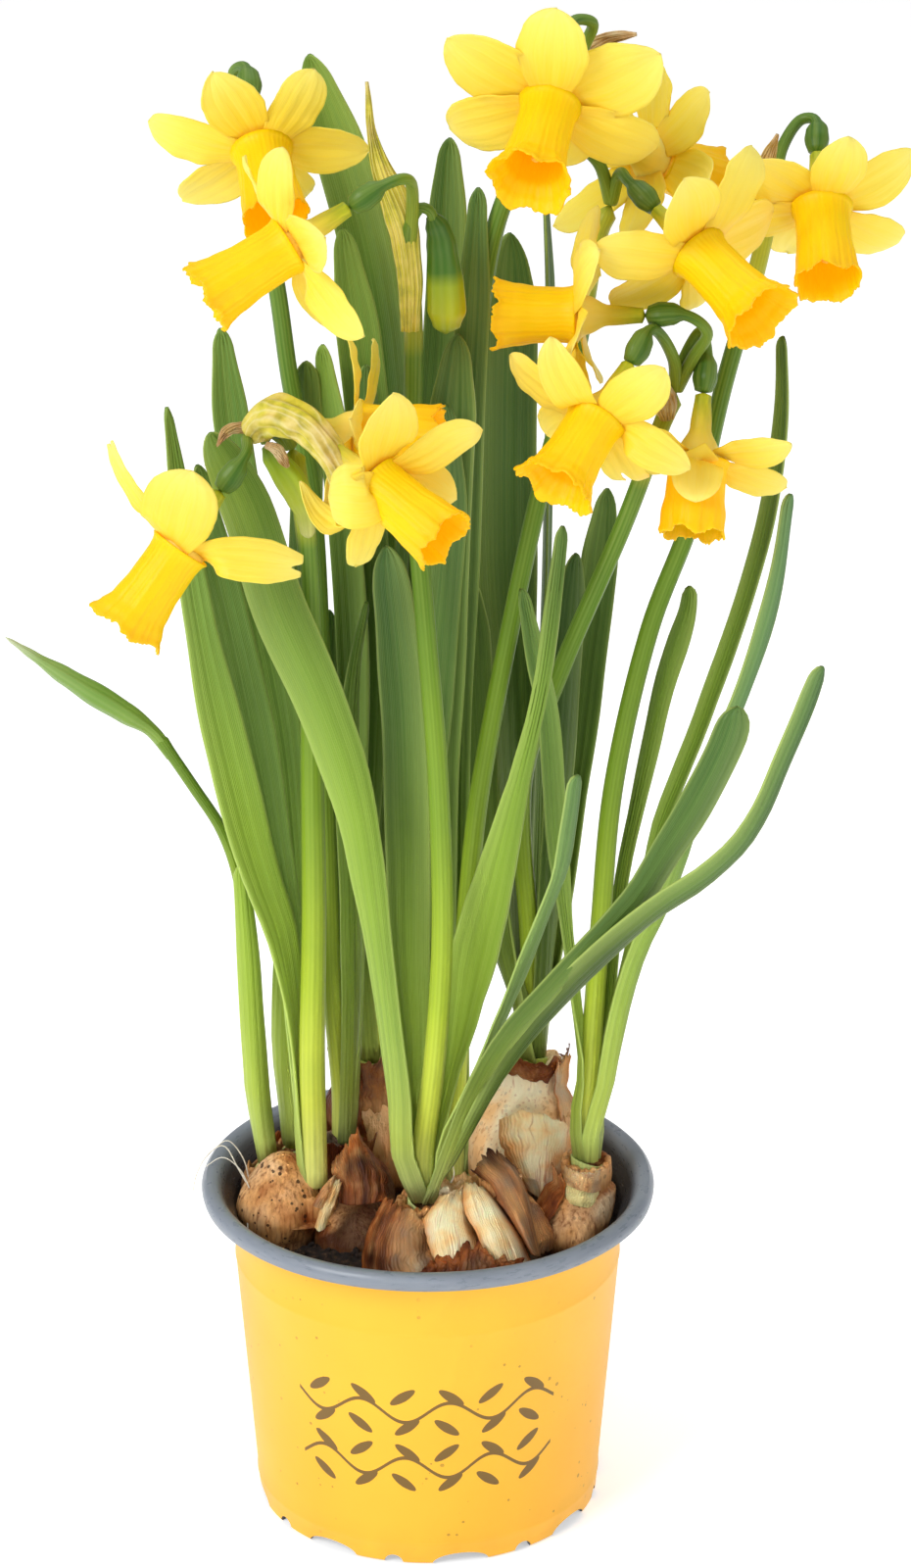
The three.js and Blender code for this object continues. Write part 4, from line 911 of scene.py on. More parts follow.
def makeFlap(name, flap, seed):
    rows = [route(row) for row in flap["rows"]]
    columns = {}

    def spot(u, s):
        uneven = 0.05 * softNoise(s * 5, 1, 4, seed) + 0.03 * softNoise(s * 17, 1, 4, seed)
        side = round(u + uneven * (2 * u - 1), 4)
        if side not in columns:
            columns[side] = route([spotAt(row, side) for row in rows], 10)
        torn = flap["torn"] * (1 + softNoise(u * 5, 1, 2, seed) + 0.9 * softNoise(u * 15, 1, 2, seed)
                               + 0.5 * softNoise(u * 37, 1, 2, seed))
        fold = 2 * flap["fold"] * softNoise(u * flap["folds"] * 1.8, s * 1.6, 6, seed)
        fold += 0.6 * softNoise(u * 4, s * 4, 3, seed) + 0.22 * softNoise(u * 22, s * 3, 3, seed)
        fold += 0.14 * softNoise(u * 14, s * 14, 5, seed)
        return spotAt(columns[side], s + torn * (1 - s) ** 3) + Vector(bulbLook["towardsEye"]) * fold

    piece = newStrip(name, *bulbLook["flap"], spot)
    markAlong(piece, "dark", lambda u, s: max(0, lineValue(flap["dark"], s) + 0.7 * softNoise(
        u * 6, s * 3, 7, seed) * (lineValue(flap["dark"], s) > 0.05)))
    markAlong(piece, "pale", lambda u, s: lineValue(flap["pale"], u))
    markAll(piece, "lime", flap.get("lime", 0))
    thicken(piece, bulbLook["skin"])
    return piece


def makeBulbs():
    tunic, skin = makeBulbMaterials()
    seed = 0
    for name, noses in bulbs.items():
        parts = []
        for i, nose in enumerate(noses):
            seed += 1
            parts.append(makeNose(f"nose{i}", nose, seed))
        finish(joinAll(name + "_fine", parts), [tunic], name)
    for i, (name, nose, *values) in enumerate(skins):
        finish(makeSkin(f"skin_{i + 1:02d}", bulbs[name][nose], i, *values), [skin])
    for i, (name, flap) in enumerate(flaps.items()):
        finish(makeFlap(name, flap, i), [skin])
    root, tree, shader = newMaterial("rootWhite", 0.5)
    cloud = cloudy(tree, objectSpot(tree), 0.6, 1.5)
    wire(tree, shader, blendTones(tree, cloud, "#f3efe4", "#cfc6b0"))
    hairs = [newTube("hair", route(points), lambda s, turn: bulbLook["hair"] * (1 - 0.5 * s), 8, 30)
             for points in rootHairs]
    finish(joinAll("root_hairs", hairs), [root])


makeBulbs()
print("bulbs made")

# Shoots: a pale sheath in each neck, and the strap leaves that fan out from it. Tones are how much painted
# shade, how bluish and how much painted yellow-green glow the leaves get, from 0 to 1, and a leaf's own
# shade, cool and glow tables say it along its length. Around and face are azimuths, of the leaf's foot and
# of its upper face.
shoots = {
  "leaves_front": {"at": [-1, -16, 92], "stem": "stem_front", "tones": (0.1, 0.15, 0.15), "leaves": [
    {"around": 215, "face": 88, "tip": 0.1, "rise": 4, "widths": [[0, 6.8], [0.05, 8.6], [0.12, 8.4],
     [0.25, 7.2], [0.34, 7.6], [0.47, 9.6], [0.61, 12.4], [0.75, 14.2], [0.9, 13], [1, 9]],
     "shade": [[0, 0], [0.5, 0.15], [1, 0.4]], "glow": [[0, 0], [0.3, 0.1], [0.5, 0.5], [0.8, 0.3]],
     "cool": [[0, 0], [0.2, 0.3], [0.4, 0.1], [1, 0.4]], "tilt": 0.5, "points": [[-7.8, -20.5, 104],
     [-8.4, -23, 127], [-10.4, -25, 150], [-14.2, -26, 182], [-18.5, -26, 209], [-26.4, -24, 234],
     [-36.7, -22, 259], [-44, -19, 283], [-53, -17, 303]]},
    {"around": 130, "face": -80, "tip": 0.1, "widths": [[0, 5.5], [0.22, 8], [0.32, 10.4], [0.46, 11.4],
     [0.6, 11.8], [0.8, 11.8], [0.93, 10], [1, 7]], "shade": [[0, 0.05], [0.3, 0.2], [0.6, 0.42], [1, 0.5]],
     "glow": [[0, 0.3], [0.3, 0.4], [0.5, 0.2], [0.7, 0]], "cool": [[0, 0], [0.6, 0.2], [1, 0.6]],
     "tilt": 0.8, "points": [[-3.6, -13, 133], [-4.8, -12, 160], [-5, -10.5, 190], [-5.8, -10, 225],
     [-8, -10, 253], [-10, -10, 271]]},
    {"around": 50, "face": -100, "tip": 0.2, "widths": [[0, 5], [0.2, 5.4], [0.28, 8.8], [0.38, 12.6],
     [0.45, 11.6], [0.52, 9.4], [0.58, 7.4], [0.66, 5.2], [0.73, 4.2], [0.86, 4.4], [1, 3]],
     "shade": [[0, 0.1], [0.3, 0.05], [0.5, 0], [0.75, 0.1], [1, 0.3]],
     "glow": [[0, 0.3], [0.3, 0.8], [0.6, 0.5], [0.8, 0.3], [1, 0]], "cool": [[0, 0], [0.8, 0.3]],
     "tilt": -0.7, "points": [[6.1, -14, 127], [9.2, -15, 142], [12.2, -16, 160], [17.9, -17, 186],
     [23.7, -18, 212], [29, -17, 236], [32, -16, 259], [34, -15, 278]]},
    {"around": 350, "face": 140, "tip": 0, "rise": 4,
     "widths": [[0, 3], [0.12, 4.6], [0.3, 6], [0.5, 6], [0.7, 5.6], [0.9, 6.4], [1, 5.4]],
     "shade": [[0, 0], [1, 0.05]], "cool": [[0, 0], [0.3, 0.6], [1, 1]], "glow": [[0, 0.2], [0.5, 0]],
     "tilt": 0.4, "points": [[5.6, -20, 112], [12, -23, 128], [18.9, -26, 147], [25.1, -28, 164],
     [30.4, -30, 180], [34.3, -31, 192], [36.4, -31, 205], [37.8, -30, 217.5]]},
    {"around": 310, "face": 110, "tip": 0, "rise": 3, "widths": [[0, 3], [0.12, 4.6], [0.35, 6.6],
     [0.55, 7], [0.7, 8.2], [0.85, 10.4], [0.95, 10], [1, 8.6]],
     "shade": [[0, 0.1], [0.2, 0.6], [0.5, 0.65], [0.75, 0.4], [1, 0.2]],
     "cool": [[0, 0], [0.4, 0.2], [0.7, 0.6], [1, 0.6]], "glow": [[0, 0], [1, 0]], "tilt": -0.8,
     "points": [[5.2, -24, 107], [10.7, -27, 124], [16.2, -34, 139], [22.8, -39, 152], [31.8, -42, 164],
     [40.3, -44, 175], [47.8, -45, 184], [53.8, -46, 192], [59.7, -45, 202], [66.4, -44, 213],
     [72.3, -43, 225], [75.8, -42, 234], [76.9, -41, 240]]},
    {"around": 285, "face": 126, "tip": 0.05, "rise": 3, "widths": [[0, 2.4], [0.1, 3.2], [0.2, 4.4],
     [0.3, 7], [0.4, 9.4], [0.5, 8.6], [0.7, 7.4], [0.85, 6.2], [0.95, 5.6], [1, 4.6]],
     "shade": [[0, 0.3], [0.15, 1], [0.5, 1], [0.65, 0.5], [1, 0.3]],
     "cool": [[0, 0], [0.5, 0], [0.7, 0.6], [1, 0.9]], "glow": [[0, 0], [1, 0]], "tilt": 0.9,
     "points": [[5.6, -22.5, 105], [12, -27, 120], [18.9, -31, 136], [27.5, -37, 152], [35.8, -41, 164],
     [47.1, -46, 178], [58.9, -51, 191], [69.3, -54, 200], [77.3, -56, 209], [82.4, -56, 218],
     [87.2, -55, 230], [92.5, -53, 243], [96.7, -50, 254]]}]},
  "leaves_front_rear": {"at": [7, -6, 93], "stem": "stem_tall_right", "tones": (0.3, 0.3, 0), "leaves": [
    {"around": 60, "face": -90, "width": 9, "tip": 0.12,
     "points": [[8, 2, 151], [8, 4, 220], [10, 5, 291], [12, 5, 336], [13, 5, 359]]},
    {"around": 110, "face": -90, "width": 12.5, "tip": 0.1,
     "points": [[3, 0, 140], [3, 0, 190], [4, 0, 244], [6, 0, 292], [8, 0, 323]]},
    {"around": 170, "face": -70, "width": 11.5, "tip": 0.15,
     "points": [[-3, -4, 140], [-1.5, -4, 190], [2, -5, 243], [5, -6, 283], [5, -7, 307]]}]},
  "leaves_left": {"at": [-30, -4, 89], "stem": "stem_cluster_left", "tones": (0.05, 0.3, 0.2), "leaves": [
    {"around": 170, "face": -62, "tip": 0.35,
     "widths": [[0, 5.4], [0.21, 8], [0.35, 10.8], [0.5, 12.4], [0.6, 11.8], [0.76, 8], [0.9, 5], [1, 2.4]],
     "shade": [[0, 0], [0.6, 0], [0.8, 0.05], [1, 0.15]], "glow": [[0, 0.4], [0.5, 0.6], [0.75, 0.4]],
     "cool": [[0, 0], [0.5, 0.1], [0.75, 0.5], [1, 0.7]], "tilt": -0.4, "points": [[-34.8, -4, 136],
     [-38.4, -6, 164], [-42.2, -7, 177], [-45.8, -8, 191], [-50.1, -9, 212], [-54, -10, 232],
     [-57.8, -10, 255], [-61.5, -10, 285], [-64, -9, 307]]},
    {"around": 130, "face": -68, "width": 10.5, "tip": 0.15, "points": [[-34, 1, 130], [-37, 0, 170],
     [-42, -1, 206], [-48, -2, 240], [-54, -3, 270], [-57, -3, 290]]},
    {"around": 85, "face": -80, "width": 9.5, "tip": 0.1, "points": [[-32, 4, 130], [-33, 6, 165],
     [-36, 7, 210], [-41, 7, 244], [-46, 7, 276], [-49, 6, 300], [-51, 5, 323]]}]},
  "leaves_far_left": {"at": [-43, 9, 90], "stem": "stem_far_left", "slim": 1.6, "tones": (0.0, 0.0, 0.5),
    "leaves": [
    {"around": 250, "face": 88, "tip": 0.2, "rise": 6,
     "widths": [[0, 5.6], [0.3, 6.6], [0.6, 6.4], [1, 4.4]], "tilt": 0.8, "points": [[-45.4, 7.5, 110],
     [-45.8, 7, 123], [-46.3, 5, 138], [-46.8, 4, 152], [-47.6, 3, 168], [-48.4, 3, 179]]}]},
  "leaves_pale": {"at": [-36, 18, 91], "slim": 1, "tones": (0.1, 0.0, 0.6), "leaves": [
    {"around": 250, "face": 88, "tip": 0.12, "widths": [[0, 7.8], [0.4, 8.2], [0.7, 8.6], [0.9, 8], [1, 6]],
     "tilt": -0.4, "shade": [[0, 0], [0.35, 0.1], [0.6, 0.4], [1, 0.5]],
     "glow": [[0, 0.6], [0.4, 0.6], [0.7, 0.1]], "points": [[-38.2, 17, 118], [-37.6, 16, 135],
     [-36, 15, 160], [-32.6, 15, 215], [-31, 14, 260], [-30, 14, 290], [-30, 13, 312]]}]},
  "leaves_mid_left": {"at": [-23, 13, 95], "stem": "stem_high_left", "tones": (0.3, 0.1, 0.1), "leaves": [
    {"around": 20, "face": -110, "width": 9, "tip": 0.12, "shade": [[0, 0.4], [0.6, 0.1], [1, 0]],
     "glow": [[0, 0], [0.6, 0.3], [1, 0.6]], "cool": [[0, 0.1], [1, 0.7]], "tilt": 0.5,
     "points": [[-18, 13, 150], [-18, 12, 200], [-19, 13, 245], [-22, 14, 285], [-26, 14, 316]]},
    {"around": 300, "face": 100, "width": 6.5, "tip": 0.3,
     "points": [[-20, 6, 140], [-20, 2, 180], [-20, -1, 215], [-18, -3, 238], [-15, -4, 254]]}]},
  "leaves_back_left": {"at": [-15, 27, 112], "stem": "stem_high_centre", "tones": (0.45, 0.25, 0),
    "leaves": [
    {"around": 100, "face": -95, "width": 14, "tip": 0.1,
     "shade": [[0, 0.8], [0.5, 0.5], [0.7, 0.1], [1, 0]],
     "glow": [[0, 0], [0.6, 0.1], [0.8, 0.4], [1, 0.4]], "cool": [[0, 0], [0.6, 0.3], [1, 0.5]],
     "tilt": 0.6, "points": [[-15, 35, 160], [-11, 36, 220], [-9, 36, 280], [-13, 35, 325], [-21, 33, 360],
     [-29, 31, 386]]},
    {"around": 160, "face": -80, "width": 12, "tip": 0.12, "shade": [[0, 0.8], [0.5, 0.5], [0.75, 0.05]],
     "glow": [[0, 0], [0.6, 0.1], [0.8, 0.4], [1, 0.5]], "cool": [[0, 0], [1, 0.6]], "tilt": 0.4,
     "points": [[-20, 29, 160], [-16, 27, 220], [-14, 26, 275], [-17, 26, 312], [-21, 25, 343]]},
    {"around": 240, "face": 90, "width": 9, "tip": 0.12,
     "points": [[-18, 20, 150], [-15, 17, 200], [-14, 15, 250], [-15, 14, 290], [-15, 13, 311]]},
    {"around": 40, "face": -100, "width": 10, "tip": 0.08,
     "points": [[-9, 32, 160], [-3, 30, 220], [2, 28, 285], [5, 27, 330], [6, 26, 366]]},
    {"around": 200, "face": -60, "width": 8, "tip": 0.15,
     "points": [[-23, 24, 145], [-26, 22, 185], [-27, 21, 215], [-25, 20, 243]]}]},
  "leaves_back_right": {"at": [28, 29, 112], "stem": "stem_cluster_right", "tones": (0.65, 0.1, 0),
    "leaves": [
    {"around": 170, "face": -80, "width": 16.5, "tip": 0.1,
     "points": [[23, 29, 160], [22, 28, 210], [20, 28, 260], [20, 28, 305], [21, 28, 341]]},
    {"around": 90, "face": -10, "width": 8, "tip": 0.12,
     "points": [[29, 35, 160], [30, 36, 220], [31, 37, 285], [31, 37, 320], [30, 36, 349]]},
    {"around": 20, "face": -95, "width": 10, "tip": 0.12,
     "points": [[35, 28, 150], [38, 24, 190], [41, 21, 225], [44, 18, 255], [46, 17, 277]]},
    {"around": 315, "face": 110, "width": 9, "tip": 0.12,
     "points": [[32, 22, 150], [34, 17, 190], [36, 13, 230], [38, 10, 262]]},
    {"around": 215, "face": 80, "width": 10, "tip": 0.12,
     "points": [[18, 25, 150], [14, 23, 190], [12, 21, 225], [11, 20, 252]]}]},
  "leaves_right": {"at": [42, -2, 97], "stem": "stem_right", "tones": (0.15, 0.6, 0.1), "leaves": [
    {"around": 190, "face": -55, "tip": 0.2,
     "widths": [[0, 6], [0.25, 5.4], [0.4, 4.4], [0.6, 6.8], [0.85, 6.4], [1, 3.4]],
     "shade": [[0, 0], [0.5, 0.1], [1, 0.15]], "glow": [[0, 0.4], [0.35, 0.2], [0.7, 0.1]],
     "cool": [[0, 0], [0.5, 0.3], [1, 0.5]], "tilt": 0.5, "points": [[40, -3, 124], [38.8, -4, 139],
     [36.9, -5, 155], [34.9, -6, 173], [33, -6, 190], [31.9, -7, 207], [30.5, -7, 225], [27.5, -8, 240],
     [24, -8, 259]]},
    {"around": 75, "face": -80, "tip": 0,
     "widths": [[0, 4], [0.3, 3.4], [0.55, 3.8], [0.75, 5.2], [0.9, 6], [1, 4]],
     "shade": [[0, 0.4], [1, 0.5]], "glow": [[0, 0], [0.5, 0.4], [1, 0.3]], "cool": [[0, 0], [1, 0]],
     "tilt": 0.9, "points": [[47, 3, 126], [47.7, 4, 143], [48.8, 5, 159], [50.9, 6, 177], [54, 7, 193],
     [57.4, 8, 210], [60.9, 9, 227], [64.3, 9, 239], [66.4, 9, 247], [67, 9, 253.5]]},
    {"around": 310, "face": 130, "tip": 0.1,
     "widths": [[0, 5.6], [0.25, 6.8], [0.5, 6.4], [0.8, 6], [1, 4]], "shade": [[0, 0], [1, 0]],
     "glow": [[0, 0.4], [0.35, 0.3], [0.6, 0]], "cool": [[0, 0], [0.4, 0.3], [0.7, 1], [1, 1]], "tilt": 0.7,
     "points": [[47, -5, 116], [48.8, -7, 130], [50.9, -7, 143], [55, -8, 159], [60.8, -8, 172],
     [65, -9, 185], [71, -9, 207], [79.6, -8, 229], [85, -7, 246], [88.5, -6, 262], [91, -5, 283]]},
    {"around": 5, "face": -140, "tip": 0.1, "widths": [[0, 4.6], [0.3, 5.2], [0.6, 6], [0.85, 6], [1, 4]],
     "shade": [[0, 0.4], [0.5, 0.45], [1, 0.5]], "glow": [[0, 0], [0.6, 0.3], [1, 0.1]],
     "cool": [[0, 0], [1, 0]], "tilt": -0.8, "points": [[45.8, 0, 115], [47.8, 0, 130], [52.6, 1, 153],
     [57.4, 2, 175], [60.5, 3, 190], [65.4, 3, 204], [69.9, 4, 216], [73.5, 5, 227], [77.3, 5, 239],
     [82.2, 6, 255], [87, 7, 276], [89.5, 8, 300], [89, 8, 320]]}]},
}

leafLook = {
    "across": 18, "rowLength": 5.0, "channel": 0.36, "thickness": 1.1, "reach": 3.7,
    "sheathRadius": 5, "sheathDepth": 6, "sheathRise": 7, "base": 0.62, "tipRows": 1.6,
    "heights": [[92, "#f1f3a6"], [112, "#dbe664"], [145, "#b0cb40"], [195, "#8bb030"], [250, "#719b31"],
                [300, "#5f8a3e"]],
    "groove": "#31580f", "paleVeinAndHighlight": "#c6da78", "deep": "#1a380b", "cool": "#5d9070", "glow": "#a9c934",
}


def heightRamp(tree, stops):
    low, high = stops[0][0], stops[-1][0]
    height = calc(tree, "DIVIDE", calc(tree, "SUBTRACT", part(tree, objectSpot(tree), 2), low), high - low)
    return ramp(tree, height, [((z - low) / (high - low), colour) for z, colour in stops])


def makeLeafMaterial():
    material, tree, shader = newMaterial("leafBlade", 0.42, Specular_IOR_Level=0.24)
    uv, spot = uvSpot(tree), objectSpot(tree)
    colour = heightRamp(tree, leafLook["heights"])
    lines = useGroup(tree, veins, Uv=uv, Count=9.0, Waver=0.15)
    fine = useGroup(tree, veins, Uv=uv, Count=26.0, Waver=0.4)
    cloud = cloudy(tree, spot, 0.035, 1.8)
    colour = tint(tree, colour, cloud, 0.35, "#4b7a1e")
    colour = tint(tree, colour, fine["Streak"], 0.32, leafLook["paleVeinAndHighlight"])
    colour = tint(tree, colour, lines["Streak"], 0.42, leafLook["groove"])
    colour = tint(tree, colour, fine["Mask"], 0.16, leafLook["groove"])
    colour = tint(tree, colour, attribute(tree, "cool"), 0.4, leafLook["cool"])
    # painted shade from the shade attribute, and a painted yellow-green glow from the glow attribute
    colour = tint(tree, colour, attribute(tree, "shade"), 0.8, leafLook["deep"])
    colour = tint(tree, colour, attribute(tree, "glow"), 0.7, leafLook["glow"])
    # painted light and shade across the blade: the tilt attribute makes one half lighter and the other half
    # darker
    half = calc(tree, "MULTIPLY_ADD", part(tree, uv, 0), 2.0, -1.0)
    turned = times(tree, half, attribute(tree, "tilt"))
    colour = tint(tree, colour, turned, 0.36, leafLook["paleVeinAndHighlight"], clamp=True)
    colour = tint(tree, colour, turned, -0.5, leafLook["deep"], clamp=True)
    # painted highlight: the blade's edges are made lighter
    edge = calc(tree, "POWER", calc(tree, "ABSOLUTE", half), 14.0)
    colour = tint(tree, colour, edge, 0.4, leafLook["paleVeinAndHighlight"])
    waxy = cloudy(tree, scaled(tree, spot, (1, 1, 0.4)), 0.1, 2.0)
    rough = calc(tree, "MULTIPLY_ADD", waxy, 0.18, 0.3)
    height = calc(tree, "ADD", times(tree, lines["Mask"], 0.6), fine["Mask"])
    wire(tree, shader, colour, rough, height, 0.4, 0.14)
    return material


def makeLeaf(name, leaf, at, slim, tones, seed):
    out = heading(leaf["around"])
    reach = leafLook["reach"] - slim
    start = Vector(at) + out * (reach - 0.5) + Vector((0, 0, 0.5))
    above = Vector(at) + out * (reach + 0.5) + Vector((0, 0, leaf.get("rise", 12)))
    curve = route([start, above, *leaf["points"]])
    long = curve[1][-1]
    tip, base = leaf["tip"], leafLook["base"]
    wide = leaf.get("width", 0) - slim
    widths = leaf.get("widths") or [[s, share * wide] for s, share in sorted([
        [0, base], [0.12, base + 0.05], [0.45, 0.45 * base + 0.5], [0.64, 1], [1 - tip, 0.96],
        [1, 0.62 - 1.1 * tip]])]
    turnBy = leaf["face"] - (leaf["around"] + 180)
    turnBy -= 360 * round(turnBy / 360)
    cap = 1 - (0.55 + 2 * tip) * lineValue(widths, 0.96) / long
    frames = {}

    def frameAt(s):
        if s not in frames:
            way = wayAt(curve, s)
            wander = 7 * softNoise(s * 4, 0, 0, seed) * s
            side = way.cross(heading(leaf["around"] + 180 + turnBy * min(1, s * 1.8) + wander))
            side.normalize()
            half = blendValue(widths, s) / 2
            if s > cap:
                half *= max(0, 1 - ((s - cap) / (1 - cap)) ** 2) ** (0.5 + tip)
            half *= 1 + 0.03 * softNoise(s * 7, 2, 0, seed)
            frames[s] = spotAt(curve, s), side, side.cross(way).normalized(), half
        return frames[s]

    def spot(u, t):
        # the strip's rows lie closer together towards the tip
        s = 1 - (1 - t) ** leafLook["tipRows"]
        centre, side, front, half = frameAt(s)
        x = 2 * u - 1
        wrap = max(0, 1 - s * long / 45)
        rise = half * leafLook["channel"] * abs(x) ** 1.35 * (1 - 0.4 * s) + half * 0.6 * wrap * x * x
        rise += 0.16 * math.cos(5 * math.pi * x) * (1 - 0.4 * s)
        rise += 0.5 * softNoise(s * 9, x, 0, seed + 4) * abs(x) ** 3
        return centre + side * (half * x) + front * rise

    piece = newStrip(name, leafLook["across"], max(16, round(long / leafLook["rowLength"])), spot)
    weigh(piece, lambda u, s: 1 - 0.75 * abs(2 * u - 1) ** 3)
    thicken(piece, leafLook["thickness"], least=0.3)
    shade = max(0, min(0.9, tones[0] + 0.35 * softNoise(seed * 3.3, 1, 1)))
    cool = max(0, min(1, tones[1] + 0.5 * softNoise(seed * 2.1, 4, 6)))
    for key, usual in (("shade", shade), ("cool", cool), ("glow", tones[2])):
        table = leaf.get(key, [[0, usual], [1, usual]])
        markAlong(piece, key, lambda u, t: lineValue(table, 1 - max(0, 1 - t) ** leafLook["tipRows"]))
    # tilt: how strongly painted light and shade split the blade into a lighter and a darker half
    markAll(piece, "tilt", leaf.get("tilt", 1.6 * softNoise(seed * 4.7, 2, 9)))
    return piece


def makeSheath(name, at, slim):
    radius = (leafLook["sheathRadius"] - slim) * 0.9
    low, high = at[2] - leafLook["sheathDepth"], at[2] - 0.2

    def spot(u, s):
        turn = 2 * math.pi * u
        z = low + (high - low) * s + 1.6 * s ** 3 * math.sin(turn + at[0])
        r = radius * (0.97 - 0.05 * s) + 0.08 * math.sin(17 * turn)
        return Vector((at[0] + r * math.cos(turn), at[1] + r * math.sin(turn), z))

    piece = newStrip(name, 48, 16, spot)
    closeUp(piece)
    thicken(piece, 0.4, offset=-1)
    for key in ("shade", "cool", "glow", "tilt"):
        markAll(piece, key, 0.0)
    return piece


def makeShoots():
    material = makeLeafMaterial()
    for n, (name, shoot) in enumerate(shoots.items()):
        slim = shoot.get("slim", 0)
        parts = [makeSheath("sheath", shoot["at"], slim)]
        for i, leaf in enumerate(shoot["leaves"]):
            parts.append(makeLeaf(f"leaf{i}", leaf, shoot["at"], slim, shoot["tones"], 7 * n + i))
        finish(joinAll(name + "_fine", parts), [material], name)


makeShoots()
print("leaves made")

# Stems: each stands in its shoot, and its head carries the flowers' pedicels and ovaries

stems = {
  "stem_front": {"radius": 2.9, "top": 2.2, "points": [[2, -22, 135], [4, -25, 170], [3, -23, 214],
    [0, -17, 252], [-3, -9, 290], [-3, -9, 330], [-4, -11, 347]]},
  "stem_tall_right": {"radius": 2.6, "top": 2.2, "points": [[8, -9, 130], [11, -10, 180], [14, -8, 207],
    [27, 4, 273], [38, 15, 315], [43, 16, 344], [46, 16, 352]]},
  "stem_cluster_left": {"radius": 3.5, "top": 2.4, "points": [[-30, -7, 130], [-29, -9, 170],
    [-29, -10, 210], [-29, -12, 247], [-30, -14, 278], [-33, -16, 299]]},
  "stem_far_left": {"radius": 1.6, "top": 1.5, "points": [[-45, 10, 120], [-47, 10, 150], [-49, 8, 173],
    [-53, 5, 188], [-60, 1, 202], [-69, -2, 218]]},
  "stem_high_left": {"radius": 2.5, "top": 2.1, "points": [[-25, 10, 140], [-26, 8, 190], [-27, 7, 240],
    [-29, 7, 280], [-34, 9, 308], [-37, 15, 329], [-41, 21, 352], [-42, 24, 362]]},
  "stem_high_centre": {"radius": 2.6, "top": 2.2, "points": [[-12, 26, 150], [-5, 22, 190], [4, 16, 239],
    [10, 12, 293], [14, 9, 329], [18, 7, 351], [26, 9, 370], [32, 12, 380]]},
  "stem_cluster_right": {"radius": 2.6, "top": 2.2,
    "points": [[27, 24, 150], [25, 16, 198], [34, 6, 231], [50, -2, 275], [58, -4, 299], [62, -5, 310]]},
  "stem_right": {"radius": 2.7, "top": 2.1, "points": [[43, -2, 130], [45, -2, 165], [48, 1, 202],
    [57, 5, 244], [67, 8, 272], [75, 12, 307], [83, 17, 336], [87, 21, 355]]},
}

stemLook = {
    "sides": 24, "rowLength": 3.0, "seat": 1, "flatten": 0.85, "ribs": 8, "ribDepth": 0.035,
    "heights": [[92, "#f3f08a"], [115, "#e2e652"], [150, "#b4c824"], [200, "#7c9c0f"], [250, "#678c15"],
                [300, "#5a8226"]],
}

